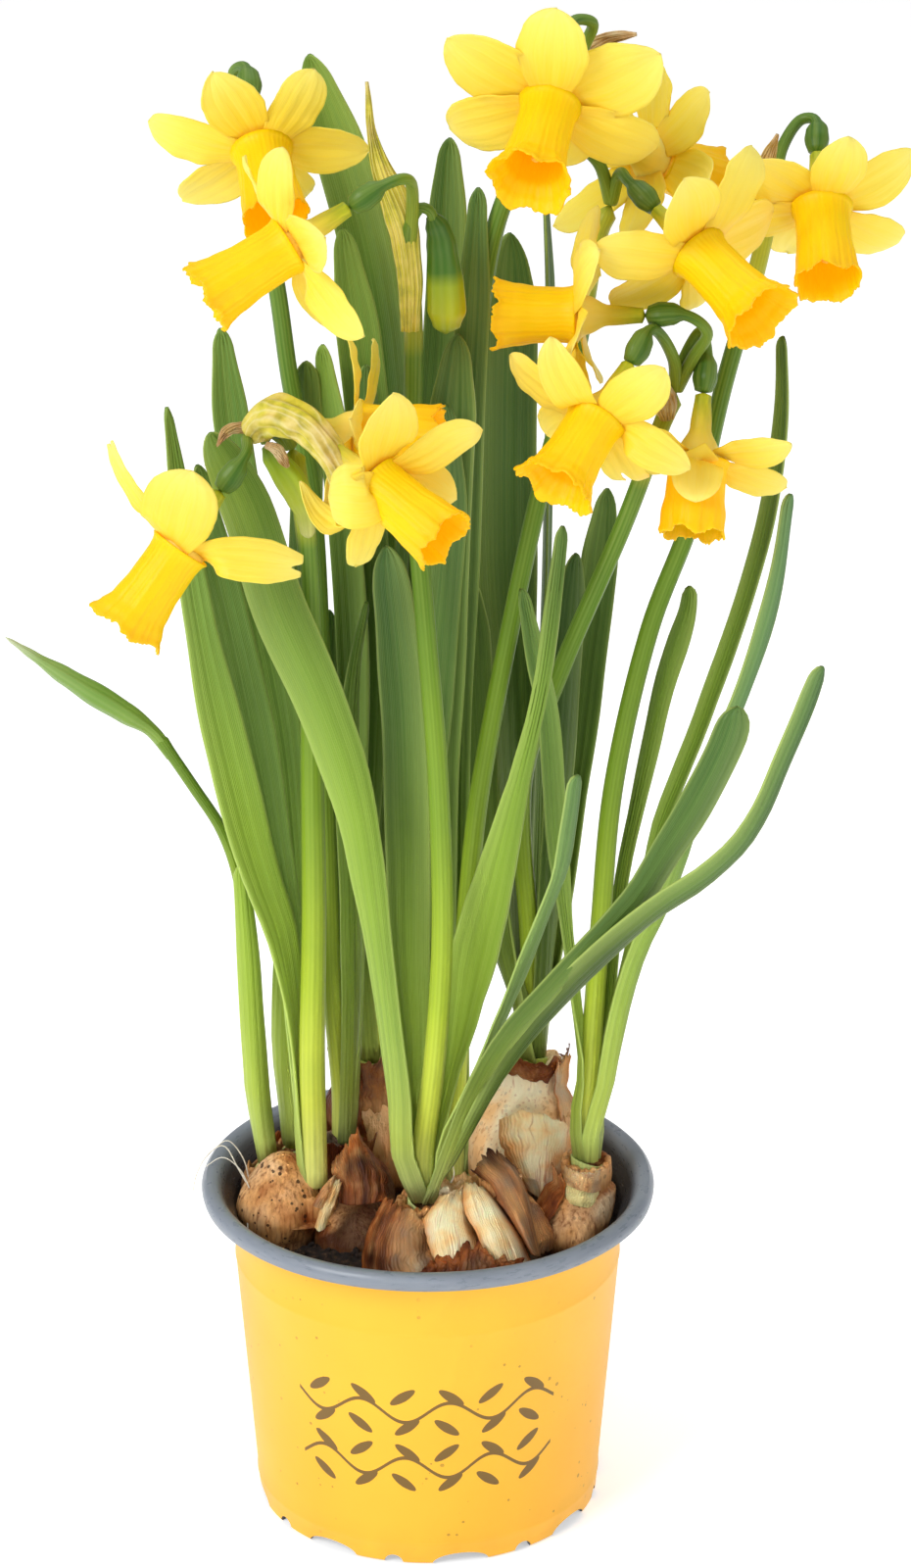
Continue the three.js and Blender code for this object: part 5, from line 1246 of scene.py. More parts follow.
# Blooms: hub is where the petals meet, aim the trumpet's azimuth and elevation, long and mouth its length
# and radius, roll the first petal's angle. Each of six petals has its own lean back and reach, and in some
# blooms how broad it is, how far it shows its face to the camera, a split tip, or a path of its own. Via
# leads the pedicel from the stem's head.
blooms = [
  {"stem": "stem_high_left", "hub": [-40, 4, 368], "aim": [-78, -34], "roll": 28, "long": 21, "mouth": 8.5,
   "width": 13, "lean": [4, 24, 14, 8, -6, 20], "reach": [29, 29, 32, 28, 27, 25],
   "via": [[-46, 29, 372], [-48, 32, 381]]},
  {"stem": "stem_front", "hub": [-33, -37, 356], "aim": [-165, -29], "roll": 44, "long": 23, "mouth": 9,
   "width": 13.5, "lean": [2, 10, -4, 4, 12, 24], "reach": [26, 27, 30, 30, 27, 27],
   "show": [0, 0.4, 0.6, 0.6, 0.3, 0.75], "broad": [0.6, 1, 0.75, 0.75, 1, 0.72],
   "via": [[-3, -15, 360], [-4, -24, 369]]},
  {"stem": "stem_high_centre", "hub": [30, -14, 384], "aim": [-105, -34], "roll": 52, "long": 24,
   "mouth": 11, "width": 18, "lean": [2, -2, 6, 8, 16, 14], "reach": [30, 29, 27, 30, 30, 28],
   "via": [[39, 16, 392], [41, 14, 398]]},
  {"stem": "stem_tall_right", "hub": [57, 22, 362], "aim": [41, -26], "roll": 38, "long": 21, "mouth": 9,
   "width": 14, "lean": [6, 8, 16, 12, 8, 8], "reach": [24, 26, 24, 31, 26, 26],
   "via": [[43, 12, 363], [37, 7, 371]]},
  {"stem": "stem_tall_right", "hub": [67, -16, 348], "aim": [-47, -28], "roll": 32, "long": 24,
   "mouth": 10.5, "width": 15, "lean": [0, 26, 22, 6, 8, 16], "reach": [30, 28, 26, 27, 31, 29],
   "via": [[48, 11, 361]]},
  {"stem": "stem_right", "hub": [98, 9, 352], "aim": [-88, -38], "roll": 48, "long": 22, "mouth": 8.6,
   "width": 14, "lean": [0, 8, 12, 6, 26, 10], "reach": [26, 27, 29, 29, 27, 24],
   "via": [[89, 28, 363], [94, 33, 369]]},
  {"stem": "stem_cluster_right", "hub": [36, -13, 332], "aim": [175, -1], "roll": 22, "long": 19,
   "mouth": 9, "width": 14, "lean": [8, 10, 8, 8, -6, 14], "reach": [27, 24, 27, 25, 25, 28],
   "show": [0.3, 0.2, 0.4, 0.3, 0.5, 0.3], "via": [[66, -9, 320], [69, -14, 328]]},
  {"stem": "stem_cluster_right", "hub": [41, -36, 312], "aim": [-130, -40], "roll": 2, "long": 20,
   "mouth": 10.5, "width": 14.5, "lean": [4, 10, -6, -6, 2, 26], "reach": [30, 27, 26, 24, 27, 27],
   "show": [0.7, 0.2, 0.3, 0.3, 0.8, 0.3], "split": [0, 0, 0, 0.25, 0, 0],
   "broad": [0.64, 1, 1, 0.9, 0.62, 0.95], "own": {0: [[36.5, -41, 319], [31.4, -40, 328],
   [30.1, -38, 334]], 4: [[53.4, -43, 308.2], [60.6, -43, 304], [64.2, -42, 301.9]]},
   "via": [[61, -10, 320]]},
  {"stem": "stem_cluster_right", "hub": [67, -20, 296], "aim": [-100, -60], "roll": 54, "long": 18,
   "mouth": 8, "width": 13, "lean": [8, 8, -4, -8, 4, 8], "reach": [26, 26, 27, 26, 26, 26],
   "show": [0.3, 0.3, 0.3, 0.5, 0.35, 0.95], "broad": [1, 1, 1, 0.8, 0.8, 1],
   "own": {5: [[66.4, -31, 298.5], [66.1, -34, 295], [65.9, -35.5, 291.5]]},
   "via": [[64, -4, 318], [68, -4, 325]]},
  {"stem": "stem_cluster_left", "hub": [-11, -49, 300], "aim": [-35, -27], "roll": 12, "long": 22,
   "mouth": 8.6, "width": 13.5, "lean": [4, -4, 6, -6, -8, -8], "reach": [28, 29, 26, 28, 23, 29],
   "show": [0.5, 0.9, 0, 0.4, 0.4, 0.6], "broad": [1, 1.2, 0.42, 0.72, 0.8, 0.74],
   "own": {1: [[-13.7, -57, 300], [-18.4, -57, 300.3], [-23.3, -54, 299.5]], 2: [[-16.0, -48, 291.7],
   [-21.0, -46, 288.8], [-25.8, -45, 292.2], [-30.0, -44, 299.6]], 4: [[-0.9, -43, 299.0],
   [7.6, -42, 294.2]], 5: [[-0.8, -48, 306.6], [7.6, -47, 311.7], [14.0, -46, 312.9]]},
   "via": [[-35, -20, 305], [-37, -28, 311]]},
  {"stem": "stem_cluster_left", "hub": [-15, -22, 305], "aim": [-9, -1], "roll": 4, "long": 19, "mouth": 8,
   "width": 12.5, "lean": [4, -6, 8, 8, 6, 0], "reach": [26, 21, 26, 26, 26, 29],
   "show": [0, 0.2, 0.4, 0.5, 0.2, 0], "broad": [0.5, 1, 1, 1, 1, 0.7], "via": [[-38, -16, 304]]},
  {"stem": "stem_cluster_left", "hub": [-60, -42, 281], "aim": [-159, -52], "roll": 36, "long": 23,
   "mouth": 10.5, "width": 15, "lean": [20, 30, 12, 28, 14, 12], "reach": [31, 28, 27, 30, 27, 27],
   "show": [0.35, 0.3, 0.4, 0.3, 0.95, 0.96], "broad": [0.6, 0.6, 0.5, 0.45, 0.64, 1.28],
   "split": [0.06, 0, 0, 0, 0.1, 0], "own": {3: [[-48.1, -42, 278.6], [-39.1, -41, 277.0]],
   4: [[-50.2, -49, 282.1], [-40.7, -49, 281.1], [-29.7, -46, 278.5]], 5: [[-59.9, -49, 291.6],
   [-56.1, -49, 303.8]]}, "via": [[-38, -19, 304], [-43, -23, 304]]},
]

bloomLook = {
    "hubRadius": 6.4, "innerDepth": 1, "outerDepth": 2.1, "tubeLength": 18, "ovaryLength": 10,
    "ovaryRadius": 3.1, "pedicelRadius": 1.4, "petalRoot": 4.6, "across": 22, "along": 34,
    "thickness": 0.45, "cup": 0.10, "crease": 0.5, "ripple": 0.55, "towardsEye": (0, -0.927, 0.375),
    "innerWidths": [[0, 0.52], [0.12, 0.68], [0.27, 0.87], [0.42, 0.98], [0.55, 1], [0.68, 0.96],
                    [0.79, 0.86], [0.88, 0.68], [0.94, 0.48], [0.98, 0.26], [1, 0.0]],
    "outerWidths": [[0, 0.52], [0.12, 0.7], [0.27, 0.9], [0.42, 1], [0.52, 1], [0.64, 0.94],
                    [0.76, 0.8], [0.86, 0.6], [0.93, 0.4], [0.98, 0.2], [1, 0.0]],
}

# the stalks of the two nodding buds: via leads from the stem's head, and points go on into the bud
buds = {
  "bud_nodding": {"stem": "stem_front", "via": [[-4, -13, 354], [-1, -13, 359]],
    "points": [[2, -13, 356], [4, -12, 350], [4, -12, 340], [5, -13, 328]]},
  "bud_spent": {"stem": "stem_cluster_left", "via": [[-36, -18, 304], [-39, -21, 305]],
    "points": [[-39, -22, 302], [-36, -23, 294], [-31, -24, 287], [-30, -24, 272]]},
}


def makeStemMaterial():
    material, tree, shader = newMaterial("stemSkin", 0.38, Specular_IOR_Level=0.22)
    spot, uv = objectSpot(tree), uvSpot(tree)
    colour = heightRamp(tree, stemLook["heights"])
    lines = useGroup(tree, veins, Uv=uv, Count=16.0, Waver=0.3)
    cloud = cloudy(tree, spot, 0.05, 1.8)
    colour = tint(tree, colour, cloud, 0.3, "#4b7d20")
    colour = blendTones(tree, attribute(tree, "pale"), colour, "#b9bd2e")
    colour = blendTones(tree, attribute(tree, "deep"), colour, "#325e14")
    colour = tint(tree, colour, lines["Streak"], 0.25, "#bcd070")
    colour = tint(tree, colour, lines["Mask"], 0.14, "#3f661a")
    wire(tree, shader, colour, None, lines["Mask"], 0.35, 0.14)
    return material


def stemCurve(name):
    x, y, z = next(shoot["at"] for shoot in shoots.values() if shoot.get("stem") == name)
    rise = leafLook["sheathRise"]
    low = [(x, y, z - stemLook["seat"] + touch), (x, y, z + rise), (x, y, z + 2 * rise)]
    return route([*low, *stems[name]["points"]])


def onAxis(bloom, distance):
    return Vector(bloom["hub"]) + heading(*bloom["aim"]) * distance


def axesOf(bloom):
    # the way it faces, and the ways up and across it
    aim = heading(*bloom["aim"])
    upper = (Vector((0, 0, 1)) - aim * aim.z).normalized()
    return aim, upper, aim.cross(upper)


# how dark a stem is, from 0 to 1, at a point of it
stemTones = {
    "stem_far_left": lambda p: max(0, min(0.45, (p.z - 170) / 40)),
    "stem_high_left": lambda p: 0.25,
    "stem_cluster_right": lambda p: 0.15,
    "stem_front": lambda p: max(0, min(0.3, (p.z - 230) / 100)),
}


def makeScape(name):
    stem = stems[name]
    curve = stemCurve(name)
    long = curve[1][-1]

    def radius(s, turn):
        r = stem["radius"] + (stem["top"] - stem["radius"]) * s
        r *= 1 + stemLook["ribDepth"] * math.cos(stemLook["ribs"] * turn)
        swell = 0.25 * math.exp(-((1 - s) * long / 5) ** 2)
        return r * (1 + swell)

    piece = newTube("scape", curve, radius, stemLook["sides"], round(long / stemLook["rowLength"]),
                    stemLook["flatten"])
    head = Vector(stem["points"][-1])
    pale = 0 if name == "stem_far_left" else 0.85
    markAll(piece, "pale", lambda p: max(0, min(pale, (26 - (p - head).length) / 4)))
    markAll(piece, "deep", stemTones.get(name, lambda p: 0.0))
    return piece


def makePedicel(bloom):
    look = bloomLook
    seat = look["tubeLength"] + touch
    curve = route([stems[bloom["stem"]]["points"][-1], *bloom["via"],
                   onAxis(bloom, -seat - look["ovaryLength"]), onAxis(bloom, -seat + 2 * touch)])
    share = look["ovaryLength"] / curve[1][-1]
    start = 1 - share
    radii = [[0, look["pedicelRadius"] * 1.2], [start, look["pedicelRadius"]],
             [start + share * 0.3, look["ovaryRadius"] * 0.9],
             [start + share * 0.6, look["ovaryRadius"]], [1, look["ovaryRadius"] * 0.68]]

    def radius(s, turn):
        lobes = 0.07 * math.cos(3 * turn) * max(0, min(1, (s - start) / share * 3))
        return blendValue(radii, s) * (1 + lobes)

    piece = newTube("pedicel", curve, radius, 18, 44)
    foot = onAxis(bloom, -seat - look["ovaryLength"] / 2)
    markAll(piece, "pale", lambda p: max(0, min(0.5, (p - foot).length / 40 - 0.15)))
    markAll(piece, "deep", lambda p: max(0.15, min(0.9, 1.5 - (p - foot).length / 7)))
    return piece


def makeStalk(bud):
    way = wayAt(route(bud["points"]), 0.01)
    first = Vector(bud["points"][0])
    curve = route([stems[bud["stem"]]["points"][-1], *bud["via"], first - way * 2.5, first + way * 0.4])
    piece = newTube("stalk", curve, lambda s, turn: bloomLook["pedicelRadius"] * (1.2 - 0.3 * s), 14, 24)
    markAll(piece, "pale", 0.1)
    markAll(piece, "deep", 0.4)
    return piece


def makeStems():
    material = makeStemMaterial()
    for name in stems:
        parts = [makeScape(name)]
        parts += [makePedicel(bloom) for bloom in blooms if bloom["stem"] == name]
        parts += [makeStalk(bud) for bud in buds.values() if bud["stem"] == name]
        finish(joinAll(name + "_fine", parts), [material], name)


makeStems()
print("stems made")

# Petals: six to a flower, on the tube behind it


def makePetalMaterial():
    material, tree, shader = newMaterial("petalYellow", 0.5, Subsurface_Weight=0.3, Specular_IOR_Level=0.3)
    shader.inputs["Subsurface Scale"].default_value = 0.004
    shader.inputs["Subsurface Radius"].default_value = (1.0, 0.7, 0.15)
    uv, spot = uvSpot(tree), objectSpot(tree)
    run = part(tree, uv, 1)
    colour = ramp(tree, run, [(0.0, "#ffc808"), (0.2, "#ffd52a"), (0.55, "#ffe04c"), (1.0, "#ffea74")])
    lines = useGroup(tree, veins, Uv=uv, Count=11.0, Waver=1.2)
    fine = useGroup(tree, veins, Uv=uv, Count=34.0, Waver=1.0)
    cloud = cloudy(tree, spot, 0.06, 1.8)
    colour = tint(tree, colour, lines["Streak"], 0.13, "#fccf34")
    colour = tint(tree, colour, fine["Streak"], 0.14, "#fff4a0")
    colour = tint(tree, colour, cloud, 0.22, "#ffdb4a")
    lime = blendTones(tree, lines["Streak"], "#bcc41f", "#7f9a1a")
    colour = blendTones(tree, attribute(tree, "green"), colour, lime)
    height = calc(tree, "ADD", lines["Mask"], times(tree, fine["Mask"], 0.5))
    wire(tree, shader, colour, None, height, 0.2, 0.12)
    return material


def makePetal(bloom, k, seed):
    look = bloomLook
    aim, upper, beside = axesOf(bloom)
    angle = math.radians(bloom["roll"] + 60 * k)
    out = upper * math.cos(angle) + beside * math.sin(angle)
    lean = math.radians(bloom["lean"][k])
    inner = k % 2
    own = bloom.get("own", {}).get(k)
    if own:
        away = Vector(own[0]) - Vector(bloom["hub"])
        out = (away - aim * away.dot(aim)).normalized()
    start = onAxis(bloom, -look["innerDepth"] if inner else -look["outerDepth"]) + out * look["petalRoot"]
    long = bloom["reach"][k] - look["petalRoot"]

    def point(share, bow):
        bend = lean * (0.7 + 0.3 * share)
        return start + out * (long * share * math.cos(bend)) + aim * (bow - long * share * math.sin(bend))

    curve = route([start, *own] if own else [start, point(0.35, 0.7), point(0.7, 0.6), point(1, -0.4)])
    wide = bloom["width"] * (0.98 if inner else 1.14) * bloom.get("broad", [1] * 6)[k]
    widths = look["innerWidths"] if inner else look["outerWidths"]
    show = bloom.get("show", [0.15] * 6)[k]
    split = bloom.get("split", [0] * 6)[k]
    viewWay = Vector(look["towardsEye"])
    roll = 0.25 * softNoise(seed * 1.7, k * 2.1, 3)
    wave = look["ripple"] * (1.4 if inner else 0.8)

    def spot(u, t):
        s = 1 - (1 - t) ** 1.25
        way = wayAt(curve, s)
        turned = show * min(1, s / 0.35)
        side = way.cross(aim.lerp(viewWay, turned)).normalized()
        front = side.cross(way).normalized()
        x = 2 * u - 1
        if split:  # two uneven points, with a notch between them
            s = s * (1 - split * math.exp(-((x - 0.15) / 0.22) ** 2) * s ** 3)
        half = wide * lineValue(widths, s if not split else s * 0.9) / 2
        half *= 1 + 0.05 * softNoise(s * 5, seed, k)
        rise = half * look["cup"] * (1 - x * x) * (1 if inner else -0.6)
        rise -= look["crease"] * math.exp(-(x / 0.10) ** 2) * math.sin(math.pi * min(1, s * 1.1))
        rise += 0.10 * math.cos(6 * math.pi * x) * math.sin(math.pi * s)
        rise += roll * half * x * s
        rise += wave * x * x * softNoise(s * 6, 3 if x > 0 else 8, seed, k)
        rise += 0.9 * softNoise(s * 2.2, x * 0.9, seed, k + 5) * s
        hook = -1.1 * max(0, s - 0.9) / 0.1 * (1 if inner else 0.4)
        return spotAt(curve, s) + side * (half * x) + front * (rise + hook * 0.6)

    piece = newStrip("petal", look["across"], look["along"], spot)
    weigh(piece, lambda u, s: 1 - 0.6 * abs(2 * u - 1) ** 2)
    thicken(piece, look["thickness"], least=0.3)
    markAll(piece, "green", 0.0)
    return piece


def makePetals():
    material = makePetalMaterial()
    hubRadius = bloomLook["hubRadius"]
    radii = [[0, 1.9], [0.5, 2.6], [0.8, 4.8], [0.94, hubRadius], [1, hubRadius]]
    for i, bloom in enumerate(blooms):
        curve = route([onAxis(bloom, -bloomLook["tubeLength"]), onAxis(bloom, -9), onAxis(bloom, 0)])
        tube = newTube("tube", curve, lambda s, turn: blendValue(radii, s) * (
            1 + 0.05 * math.cos(6 * turn) * (1 - s)), 30, 24)
        hub = Vector(bloom["hub"])
        aim = heading(*bloom["aim"])
        markAll(tube, "green", lambda p: max(0, min(0.9, -((p - hub).dot(aim) + 4) / 13)))
        parts = [tube] + [makePetal(bloom, k, i) for k in range(6)]
        name = f"petals_{i + 1:02d}"
        finish(joinAll(name + "_fine", parts), [material], name)


makePetals()
print("petals made")

# Trumpets: ribbed cups with frilled mouths, and the stamens inside

trumpetLook = {
    "base": 6.8, "wall": 0.45, "around": 120, "along": 30, "lobes": 5, "ribs": 6, "style": 0.6,
    "stigma": 0.75, "stamen": 0.35, "anther": 0.6,
}


def makeTrumpetMaterials():
    def layTones(name, stops, deep, glow=0.0):
        material, tree, shader = newMaterial(name, 0.5, Subsurface_Weight=0.4, Specular_IOR_Level=0.25)
        shader.inputs["Subsurface Scale"].default_value = 0.004
        shader.inputs["Subsurface Radius"].default_value = (1.0, 0.6, 0.1)
        uv, spot = uvSpot(tree), objectSpot(tree)
        colour = ramp(tree, part(tree, uv, 1), stops)
        lines = useGroup(tree, veins, Uv=uv, Count=36.0, Waver=1.0)
        cloud = cloudy(tree, spot, 0.09, 1.8)
        colour = tint(tree, colour, lines["Streak"], 0.35, deep)
        colour = tint(tree, colour, cloud, 0.2, deep)
        wire(tree, shader, colour, None, calc(tree, "ADD", lines["Mask"], lines["Streak"]), 0.25, 0.2)
        # painted glow: emission that stands in for light coming through the thin wall
        if glow:  # light that comes through the thin wall
            tree.links.new(colour, shader.inputs["Emission Color"])
            shader.inputs["Emission Strength"].default_value = glow
        return material

    outside = layTones("trumpetOutside", [(0, "#ffd800"), (0.5, "#ffd400"), (0.85, "#ffc800"),
                                          (1, "#ffb800")], "#ffba00")
    # the inside gets a painted orange glow
    inside = layTones("trumpetInside", [(0, "#ffc000"), (0.5, "#ffb600"), (0.85, "#ffb800"),
                                        (1, "#ffbc00")], "#ffae00", 0.24)
    return outside, inside


def makeTrumpet(name, bloom, seed):
    look = trumpetLook
    _, upper, beside = axesOf(bloom)
    base, mouth = look["base"], bloom["mouth"]
    radii = [[0, base * 1.16], [0.05, base * 1.03], [0.14, base], [0.45, base * 1.02],
             [0.72, base * 1.12], [0.9, base * 0.4 + mouth * 0.6], [1, mouth * 0.97]]

    def spot(u, s):
        turn = 2 * math.pi * u
        ring = Vector((math.cos(turn), math.sin(turn), 0))
        r = blendValue(radii, s)
        frill = s ** 5
        ripple = 0.06 * math.cos(look["lobes"] * turn) + 0.03 * math.cos(11 * turn + seed)
        ripple += 0.08 * softNoise(ring.x * 2.6, ring.y * 2.6, s, seed)
        r *= 1 + frill * ripple + 0.018 * math.cos(look["ribs"] * turn) * (0.4 + s)
        r += 0.12 * math.cos(24 * turn) * s
        teeth = 0.7 * math.cos(look["lobes"] * turn + 1) - 0.5 * abs(math.cos(3 * turn + seed))
        teeth += 1.1 * softNoise(ring.x * 4, ring.y * 4, 4, seed)
        teeth += 0.7 * softNoise(ring.x * 15, ring.y * 15, 4, seed)
        height = bloom["long"] * s - 0.9 * (1 - s) ** 8 + s ** 6 * teeth
        return onAxis(bloom, height) + (upper * math.cos(turn) + beside * math.sin(turn)) * r

    piece = newStrip(name, look["around"], look["along"], spot)
    closeUp(piece)
    return piece


def makeStamens(bloom):
    _, upper, beside = axesOf(bloom)
    look, long = trumpetLook, bloom["long"]
    style = route([onAxis(bloom, 0.4), onAxis(bloom, long * 0.4), onAxis(bloom, long * 0.72)])
    parts = [newTube("style", style, lambda s, turn: look["style"] + look["stigma"] * s ** 12 * (
        1 + 0.3 * math.cos(3 * turn)), 12, 20)]
    for k in range(6):
        turn = math.pi * k / 3
        away = upper * math.cos(turn) + beside * math.sin(turn)
        stalk = route([onAxis(bloom, 0.4) + away * 2.6, onAxis(bloom, long * 0.3) + away * 2.3,
                       onAxis(bloom, long * 0.56) + away * 2.0])
        parts.append(newTube("stamen", stalk, lambda s, turn: look["stamen"] + look["anther"] * blendValue(
            [[0, 0], [0.6, 0], [0.68, 1], [0.94, 1], [1, 0.2]], s), 8, 18))
    return parts


def makeTrumpets():
    outside, inside = makeTrumpetMaterials()
    pollen, tree, shader = newMaterial("pollen", 0.7)
    grains = cloudy(tree, objectSpot(tree), 2.5, 2.0)
    wire(tree, shader, blendTones(tree, grains, "#f7b81a", "#ffd95a"), None, grains, 0.5, 0.2)
    for i, bloom in enumerate(blooms):
        name = f"trumpet_{i + 1:02d}"
        piece = makeTrumpet(name + "_fine", bloom, i + 1)
        piece.data.materials.append(outside)
        piece.data.materials.append(inside)
        thicken(piece, trumpetLook["wall"], offset=-1, material_offset=1)
        finish(piece, [], name)
        finish(joinAll(f"stamens_{i + 1:02d}", makeStamens(bloom)), [pollen])


makeTrumpets()
print("trumpets made")

# Buds: a nodding one, one that is over, and the slim closed spathe of the far-left stem

budLook = {
    "bud_nodding": {
        "path": [[1.5, -13, 357.5], [3.5, -12, 353], [4.5, -12, 345], [5, -12.5, 336], [5, -13, 327]],
        "radius": 4.6, "flatten": 0.9, "twist": 0.6,
        "shape": [[0, 0.3], [0.12, 0.62], [0.3, 0.78], [0.6, 0.95], [0.8, 1], [0.93, 0.72], [1, 0.1]],
        "tones": [(0, "#2f5a12"), (0.48, "#3f6e16"), (0.6, "#9aae18"), (0.85, "#b9c01a"), (1, "#7f9420")],
    },
    "bud_spent": {
        "path": [[-39, -22, 302], [-36.4, -23, 298], [-32.6, -24, 292.5], [-29.8, -24, 286],
                 [-28.8, -24, 278]],
        "radius": 3.6, "flatten": 0.9, "twist": 0.3,
        "shape": [[0, 0.4], [0.15, 0.8], [0.4, 1], [0.6, 0.92], [0.8, 0.66], [0.93, 0.5], [1, 0.2]],
        "tones": [(0, "#7ba01e"), (0.3, "#a2bf24"), (0.6, "#b7c738"), (0.8, "#bcc452"), (1, "#c9c87a")],
    },
    "bud_spathe": {
        "path": [[-64.5, -0.5, 210], [-70, -2, 218.5], [-77, -4, 224.5], [-87, -6, 232], [-96, -8, 239],
                 [-106, -10, 247]],
        "radius": 3.2, "flatten": 0.8, "twist": 0.2,
        "shape": [[0, 0.47], [0.17, 0.55], [0.33, 0.9], [0.48, 1], [0.66, 0.78], [0.84, 0.4], [0.95, 0.2],
                  [1, 0.05]],
        "tones": [(0, "#86a53a"), (0.2, "#7f9f3a"), (0.5, "#739a3c"), (0.8, "#8aa85a"), (1, "#cfd6b0")],
    },
}


def makeBuds():
    for name, look in budLook.items():
        material, tree, shader = newMaterial(name + "Skin", 0.4, Specular_IOR_Level=0.35)
        uv = uvSpot(tree)
        colour = ramp(tree, part(tree, uv, 1), look["tones"])
        lines = useGroup(tree, veins, Uv=uv, Count=12.0, Waver=0.5)
        colour = tint(tree, colour, lines["Streak"], 0.22, "#4c7420")
        colour = tint(tree, colour, lines["Mask"], 0.06, "#c9d488")
        wire(tree, shader, colour, None, lines["Mask"], 0.4, 0.2)

        def radius(s, turn):
            folds = 0.05 * math.cos(6 * turn) + 0.07 * math.cos(3 * turn + 5 * look["twist"] * s)
            return look["radius"] * blendValue(look["shape"], s) * (1 + folds)

        piece = newTube(name + "_fine", route(look["path"]), radius, 36, 52, look["flatten"])
        finish(piece, [material], name)


makeBuds()
print("buds made")

# Spathes: the papery bracts that the flowers came out of. Each has its width, how deep it is folded, how
# dry it is from 0 to 1, the azimuth that it faces and its twist along its length. One still wraps its
# flowers, so it has a girth in place of a fold, and loose ones are scraps of paper between the flowers.
slimSpathe = [[0, 0.5], [0.3, 1], [0.65, 0.8], [0.9, 0.35], [1, 0.06]]
spathes = {
  "spathe_front": {"width": 9.5, "fold": 0.55, "dry": -0.3, "face": -80, "twist": 30, "widths": [[0, 0.5],
    [0.12, 0.62], [0.3, 0.75], [0.45, 0.9], [0.56, 0.85], [0.68, 0.55], [0.82, 0.26], [1, 0.05]],
    "points": [[-3.6, -14, 328], [-3.4, -14.5, 342], [-5.4, -13, 356], [-9.8, -11, 367], [-12.8, -9, 377],
    [-14, -8, 389]]},
  "spathe_high_centre": {"width": 7, "fold": 0.5, "dry": 0.85, "face": -60, "twist": 30,
    "widths": slimSpathe, "points": [[31, 15, 376], [36, 21, 386], [44, 21, 392], [52, 20, 394]]},
  "spathe_tall_right": {"width": 8, "fold": 0.5, "dry": 0.7, "face": -90, "twist": 30, "widths": slimSpathe,
    "points": [[45, 12, 343], [46, 8, 342], [49, 4, 343]]},
  "spathe_right": {"width": 6, "fold": 0.5, "dry": 0.8, "face": -90, "twist": 30, "widths": slimSpathe,
    "points": [[84, 18, 350], [84, 16, 360], [87, 15, 370]]},
  "spathe_cluster_right": {"width": 7, "fold": 0.5, "dry": 0.9, "face": -90, "twist": 30,
    "widths": slimSpathe, "points": [[60, -7, 303], [59, -9, 309], [56, -12, 317]]},
  "spathe_cluster_left": {"width": 10.4, "dry": 0.05, "girth": [[0, 0.3], [0.1, 0.75], [0.28, 1],
    [0.42, 0.9], [0.56, 0.76], [0.85, 0.66], [0.95, 0.5], [1, 0.05]], "points": [[-42.5, -23, 303],
    [-39.5, -26.5, 309], [-34.5, -32, 312], [-28, -37.5, 310.8], [-23, -41.5, 305.8], [-19.6, -44, 300],
    [-18, -45, 294]]},
  "paper_left": {"width": 3.2, "fold": 0.6, "dry": 1, "face": -90, "twist": 60, "loose": True,
    "widths": [[0, 0.1], [0.3, 0.9], [0.7, 1], [1, 0.3]],
    "points": [[-51, -24, 302], [-48, -25, 306], [-44, -24, 306.5], [-40, -25, 304]]},
  "paper_middle": {"width": 3.2, "fold": 0.6, "dry": 0.9, "face": -90, "twist": 30, "loose": True,
    "widths": [[0, 0.5], [0.4, 1], [0.8, 0.8], [1, 0.2]],
    "points": [[-39, -28, 303.5], [-36, -29.5, 302.5], [-33.6, -28.5, 298]]},
}

spatheLook = {
    "across": 28, "along": 44, "thickness": 0.3, "wrinkle": 0.6,
    "fresh": ("#b5b41c", "#d8cf38", "#ecdc60"), "old": ("#b0804a", "#d3ab74", "#ecd3a6"),
    "line": "#8a6a30",
}


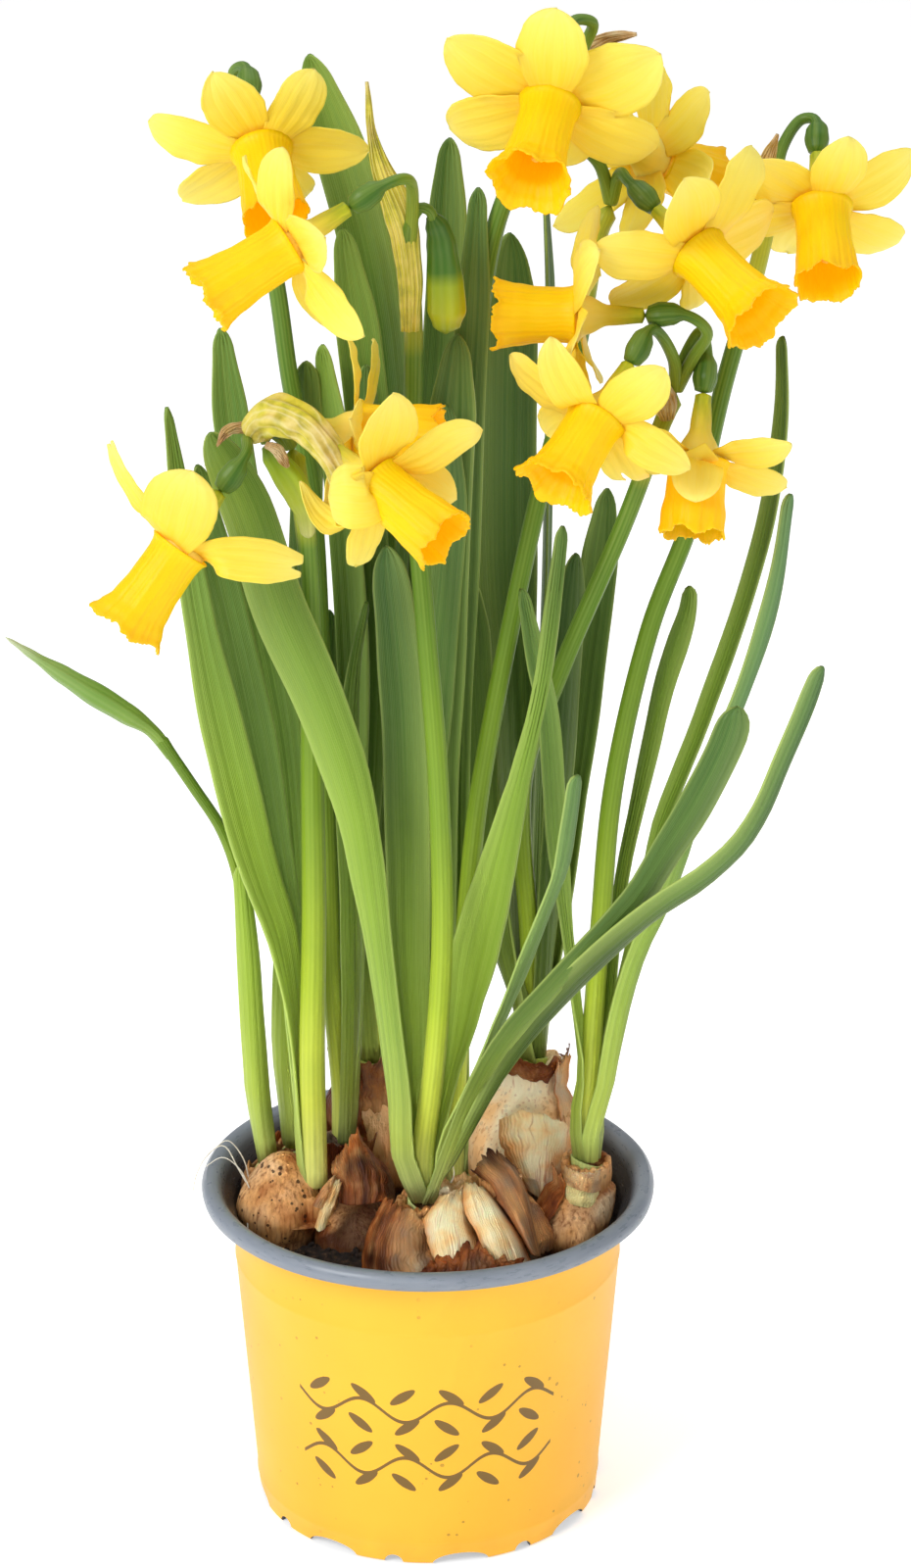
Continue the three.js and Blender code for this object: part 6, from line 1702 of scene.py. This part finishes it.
def makeSpathes():
    material, tree, shader = newMaterial("spathePaper", 0.55)
    uv = uvSpot(tree)
    lines = useGroup(tree, veins, Uv=uv, Count=14.0, Waver=3.0)
    cloud = cloudy(tree, objectSpot(tree), 0.22, 2.6)
    fresh = ramp(tree, cloud, list(zip((0.1, 0.45, 0.9), spatheLook["fresh"])))
    old = ramp(tree, cloud, list(zip((0.1, 0.45, 0.9), spatheLook["old"])))
    colour = blendTones(tree, attribute(tree, "dry"), fresh, old)
    colour = tint(tree, colour, lines["Streak"], 0.24, spatheLook["line"])
    colour = tint(tree, colour, calc(tree, "POWER", lines["Mask"], 4.0), 0.25, "#f3eec8")
    wire(tree, shader, colour, None, calc(tree, "ADD", lines["Mask"], lines["Streak"]), 0.5, 0.3)
    for n, (name, spathe) in enumerate(spathes.items()):
        curve = route(spathe["points"])

        def girth(s, turn):
            folds = 0.06 * math.cos(7 * turn + 6 * s) + 0.2 * softNoise(
                2 * math.cos(turn), 2 * math.sin(turn), s * 7, n)
            return spathe["width"] / 2 * blendValue(spathe["girth"], s) * (1 + folds)

        def spot(u, s):
            way = wayAt(curve, s)
            side = way.cross(heading(spathe["face"] + spathe["twist"] * s)).normalized()
            front = side.cross(way).normalized()
            x = 2 * u - 1
            half = spathe["width"] * lineValue(spathe["widths"], s) / 2
            half *= 1 + 0.12 * softNoise(s * 8, 2 if x > 0 else 6, n)
            bend = spathe["fold"] * x
            reach = half / max(0.4, spathe["fold"])
            across, rise = reach * math.sin(bend), reach * (1 - math.cos(bend))
            rise += spatheLook["wrinkle"] * softNoise(x * 2.5, s * 5, n)
            rise += 0.22 * math.cos(6 * math.pi * x + 4 * s)
            return spotAt(curve, s) + side * across - front * rise

        title = name if spathe.get("loose") else name + "_fine"
        if "girth" in spathe:
            piece = newTube(title, curve, girth, 60, 60)
        else:
            piece = newStrip(title, spatheLook["across"], spatheLook["along"], spot)
        long, end = curve[1][-1], curve[0][-1]
        markAll(piece, "dry", lambda p: max(0, min(1, spathe["dry"] + 0.5 * softNoise(
            p.x * 0.2, p.y * 0.2, p.z * 0.2) + 0.3 * (1 - (p - end).length / long))))
        if "girth" not in spathe:
            thicken(piece, spatheLook["thickness"])
        finish(piece, [material], None if spathe.get("loose") else name)


makeSpathes()
print("spathes made")

# Stage: pale floor, soft light and the camera

stage = {
    "camera": (0.0074, -1.20534, 0.68999), "tilt": 68, "lens": 116.35, "floor": "#f6f6f6", "floorSize": 40,
    "key": 26.0, "fill": 6.0, "top": 9.0, "front": 0.014, "sky": 0.4, "lift": 0.46,
}


def makeStage():
    clearSelection()
    bpy.ops.mesh.primitive_grid_add(x_subdivisions=2, y_subdivisions=2, size=stage["floorSize"])
    floor = bpy.context.active_object
    floor.name = "floor"
    floor.location.z = -0.0002
    bpy.ops.object.transform_apply(location=True)
    material, _, shader = newMaterial("floorPaper", 0.85)
    shader.inputs["Base Color"].default_value = tone(stage["floor"])
    shader.inputs["Emission Color"].default_value = (1, 1, 1, 1)
    shader.inputs["Emission Strength"].default_value = stage["lift"]
    floor.data.materials.append(material)

    world = bpy.data.worlds.new("studio")
    bpy.context.scene.world = world
    world.use_nodes = True
    sky = world.node_tree.nodes["Background"]
    sky.inputs["Color"].default_value = (1, 1, 1, 1)
    sky.inputs["Strength"].default_value = stage["sky"]
    for name, place, goal, size, power, spread in (
        ("keyLight", (-1.2, -1.2, 1.4), 0.2, 0.9, stage["key"], 180),
        ("fillLight", (1.4, -0.9, 0.9), 0.2, 1.4, stage["fill"], 180),
        ("topLight", (0.1, 0.5, 1.9), 0.2, 1.3, stage["top"], 180),
        ("frontLight", (-0.1, -1.0, 0.4), 0.1, 0.12, stage["front"], 10),  # small box with a grid
    ):
        data = bpy.data.lights.new(name, "AREA")
        data.size, data.energy, data.spread = size, power, math.radians(spread)
        light = bpy.data.objects.new(name, data)
        light.location = place
        light.rotation_euler = (Vector((0, 0, goal)) - Vector(place)).to_track_quat("-Z", "Y").to_euler()
        bpy.context.collection.objects.link(light)

    data = bpy.data.cameras.new("camera")
    data.lens, data.sensor_width = stage["lens"], 36
    camera = bpy.data.objects.new("camera", data)
    camera.location = stage["camera"]
    camera.rotation_euler = (math.radians(stage["tilt"]), 0, 0)
    bpy.context.collection.objects.link(camera)
    bpy.context.scene.camera = camera
    bpy.context.scene.view_settings.view_transform = "Standard"


makeStage()
clearSelection()
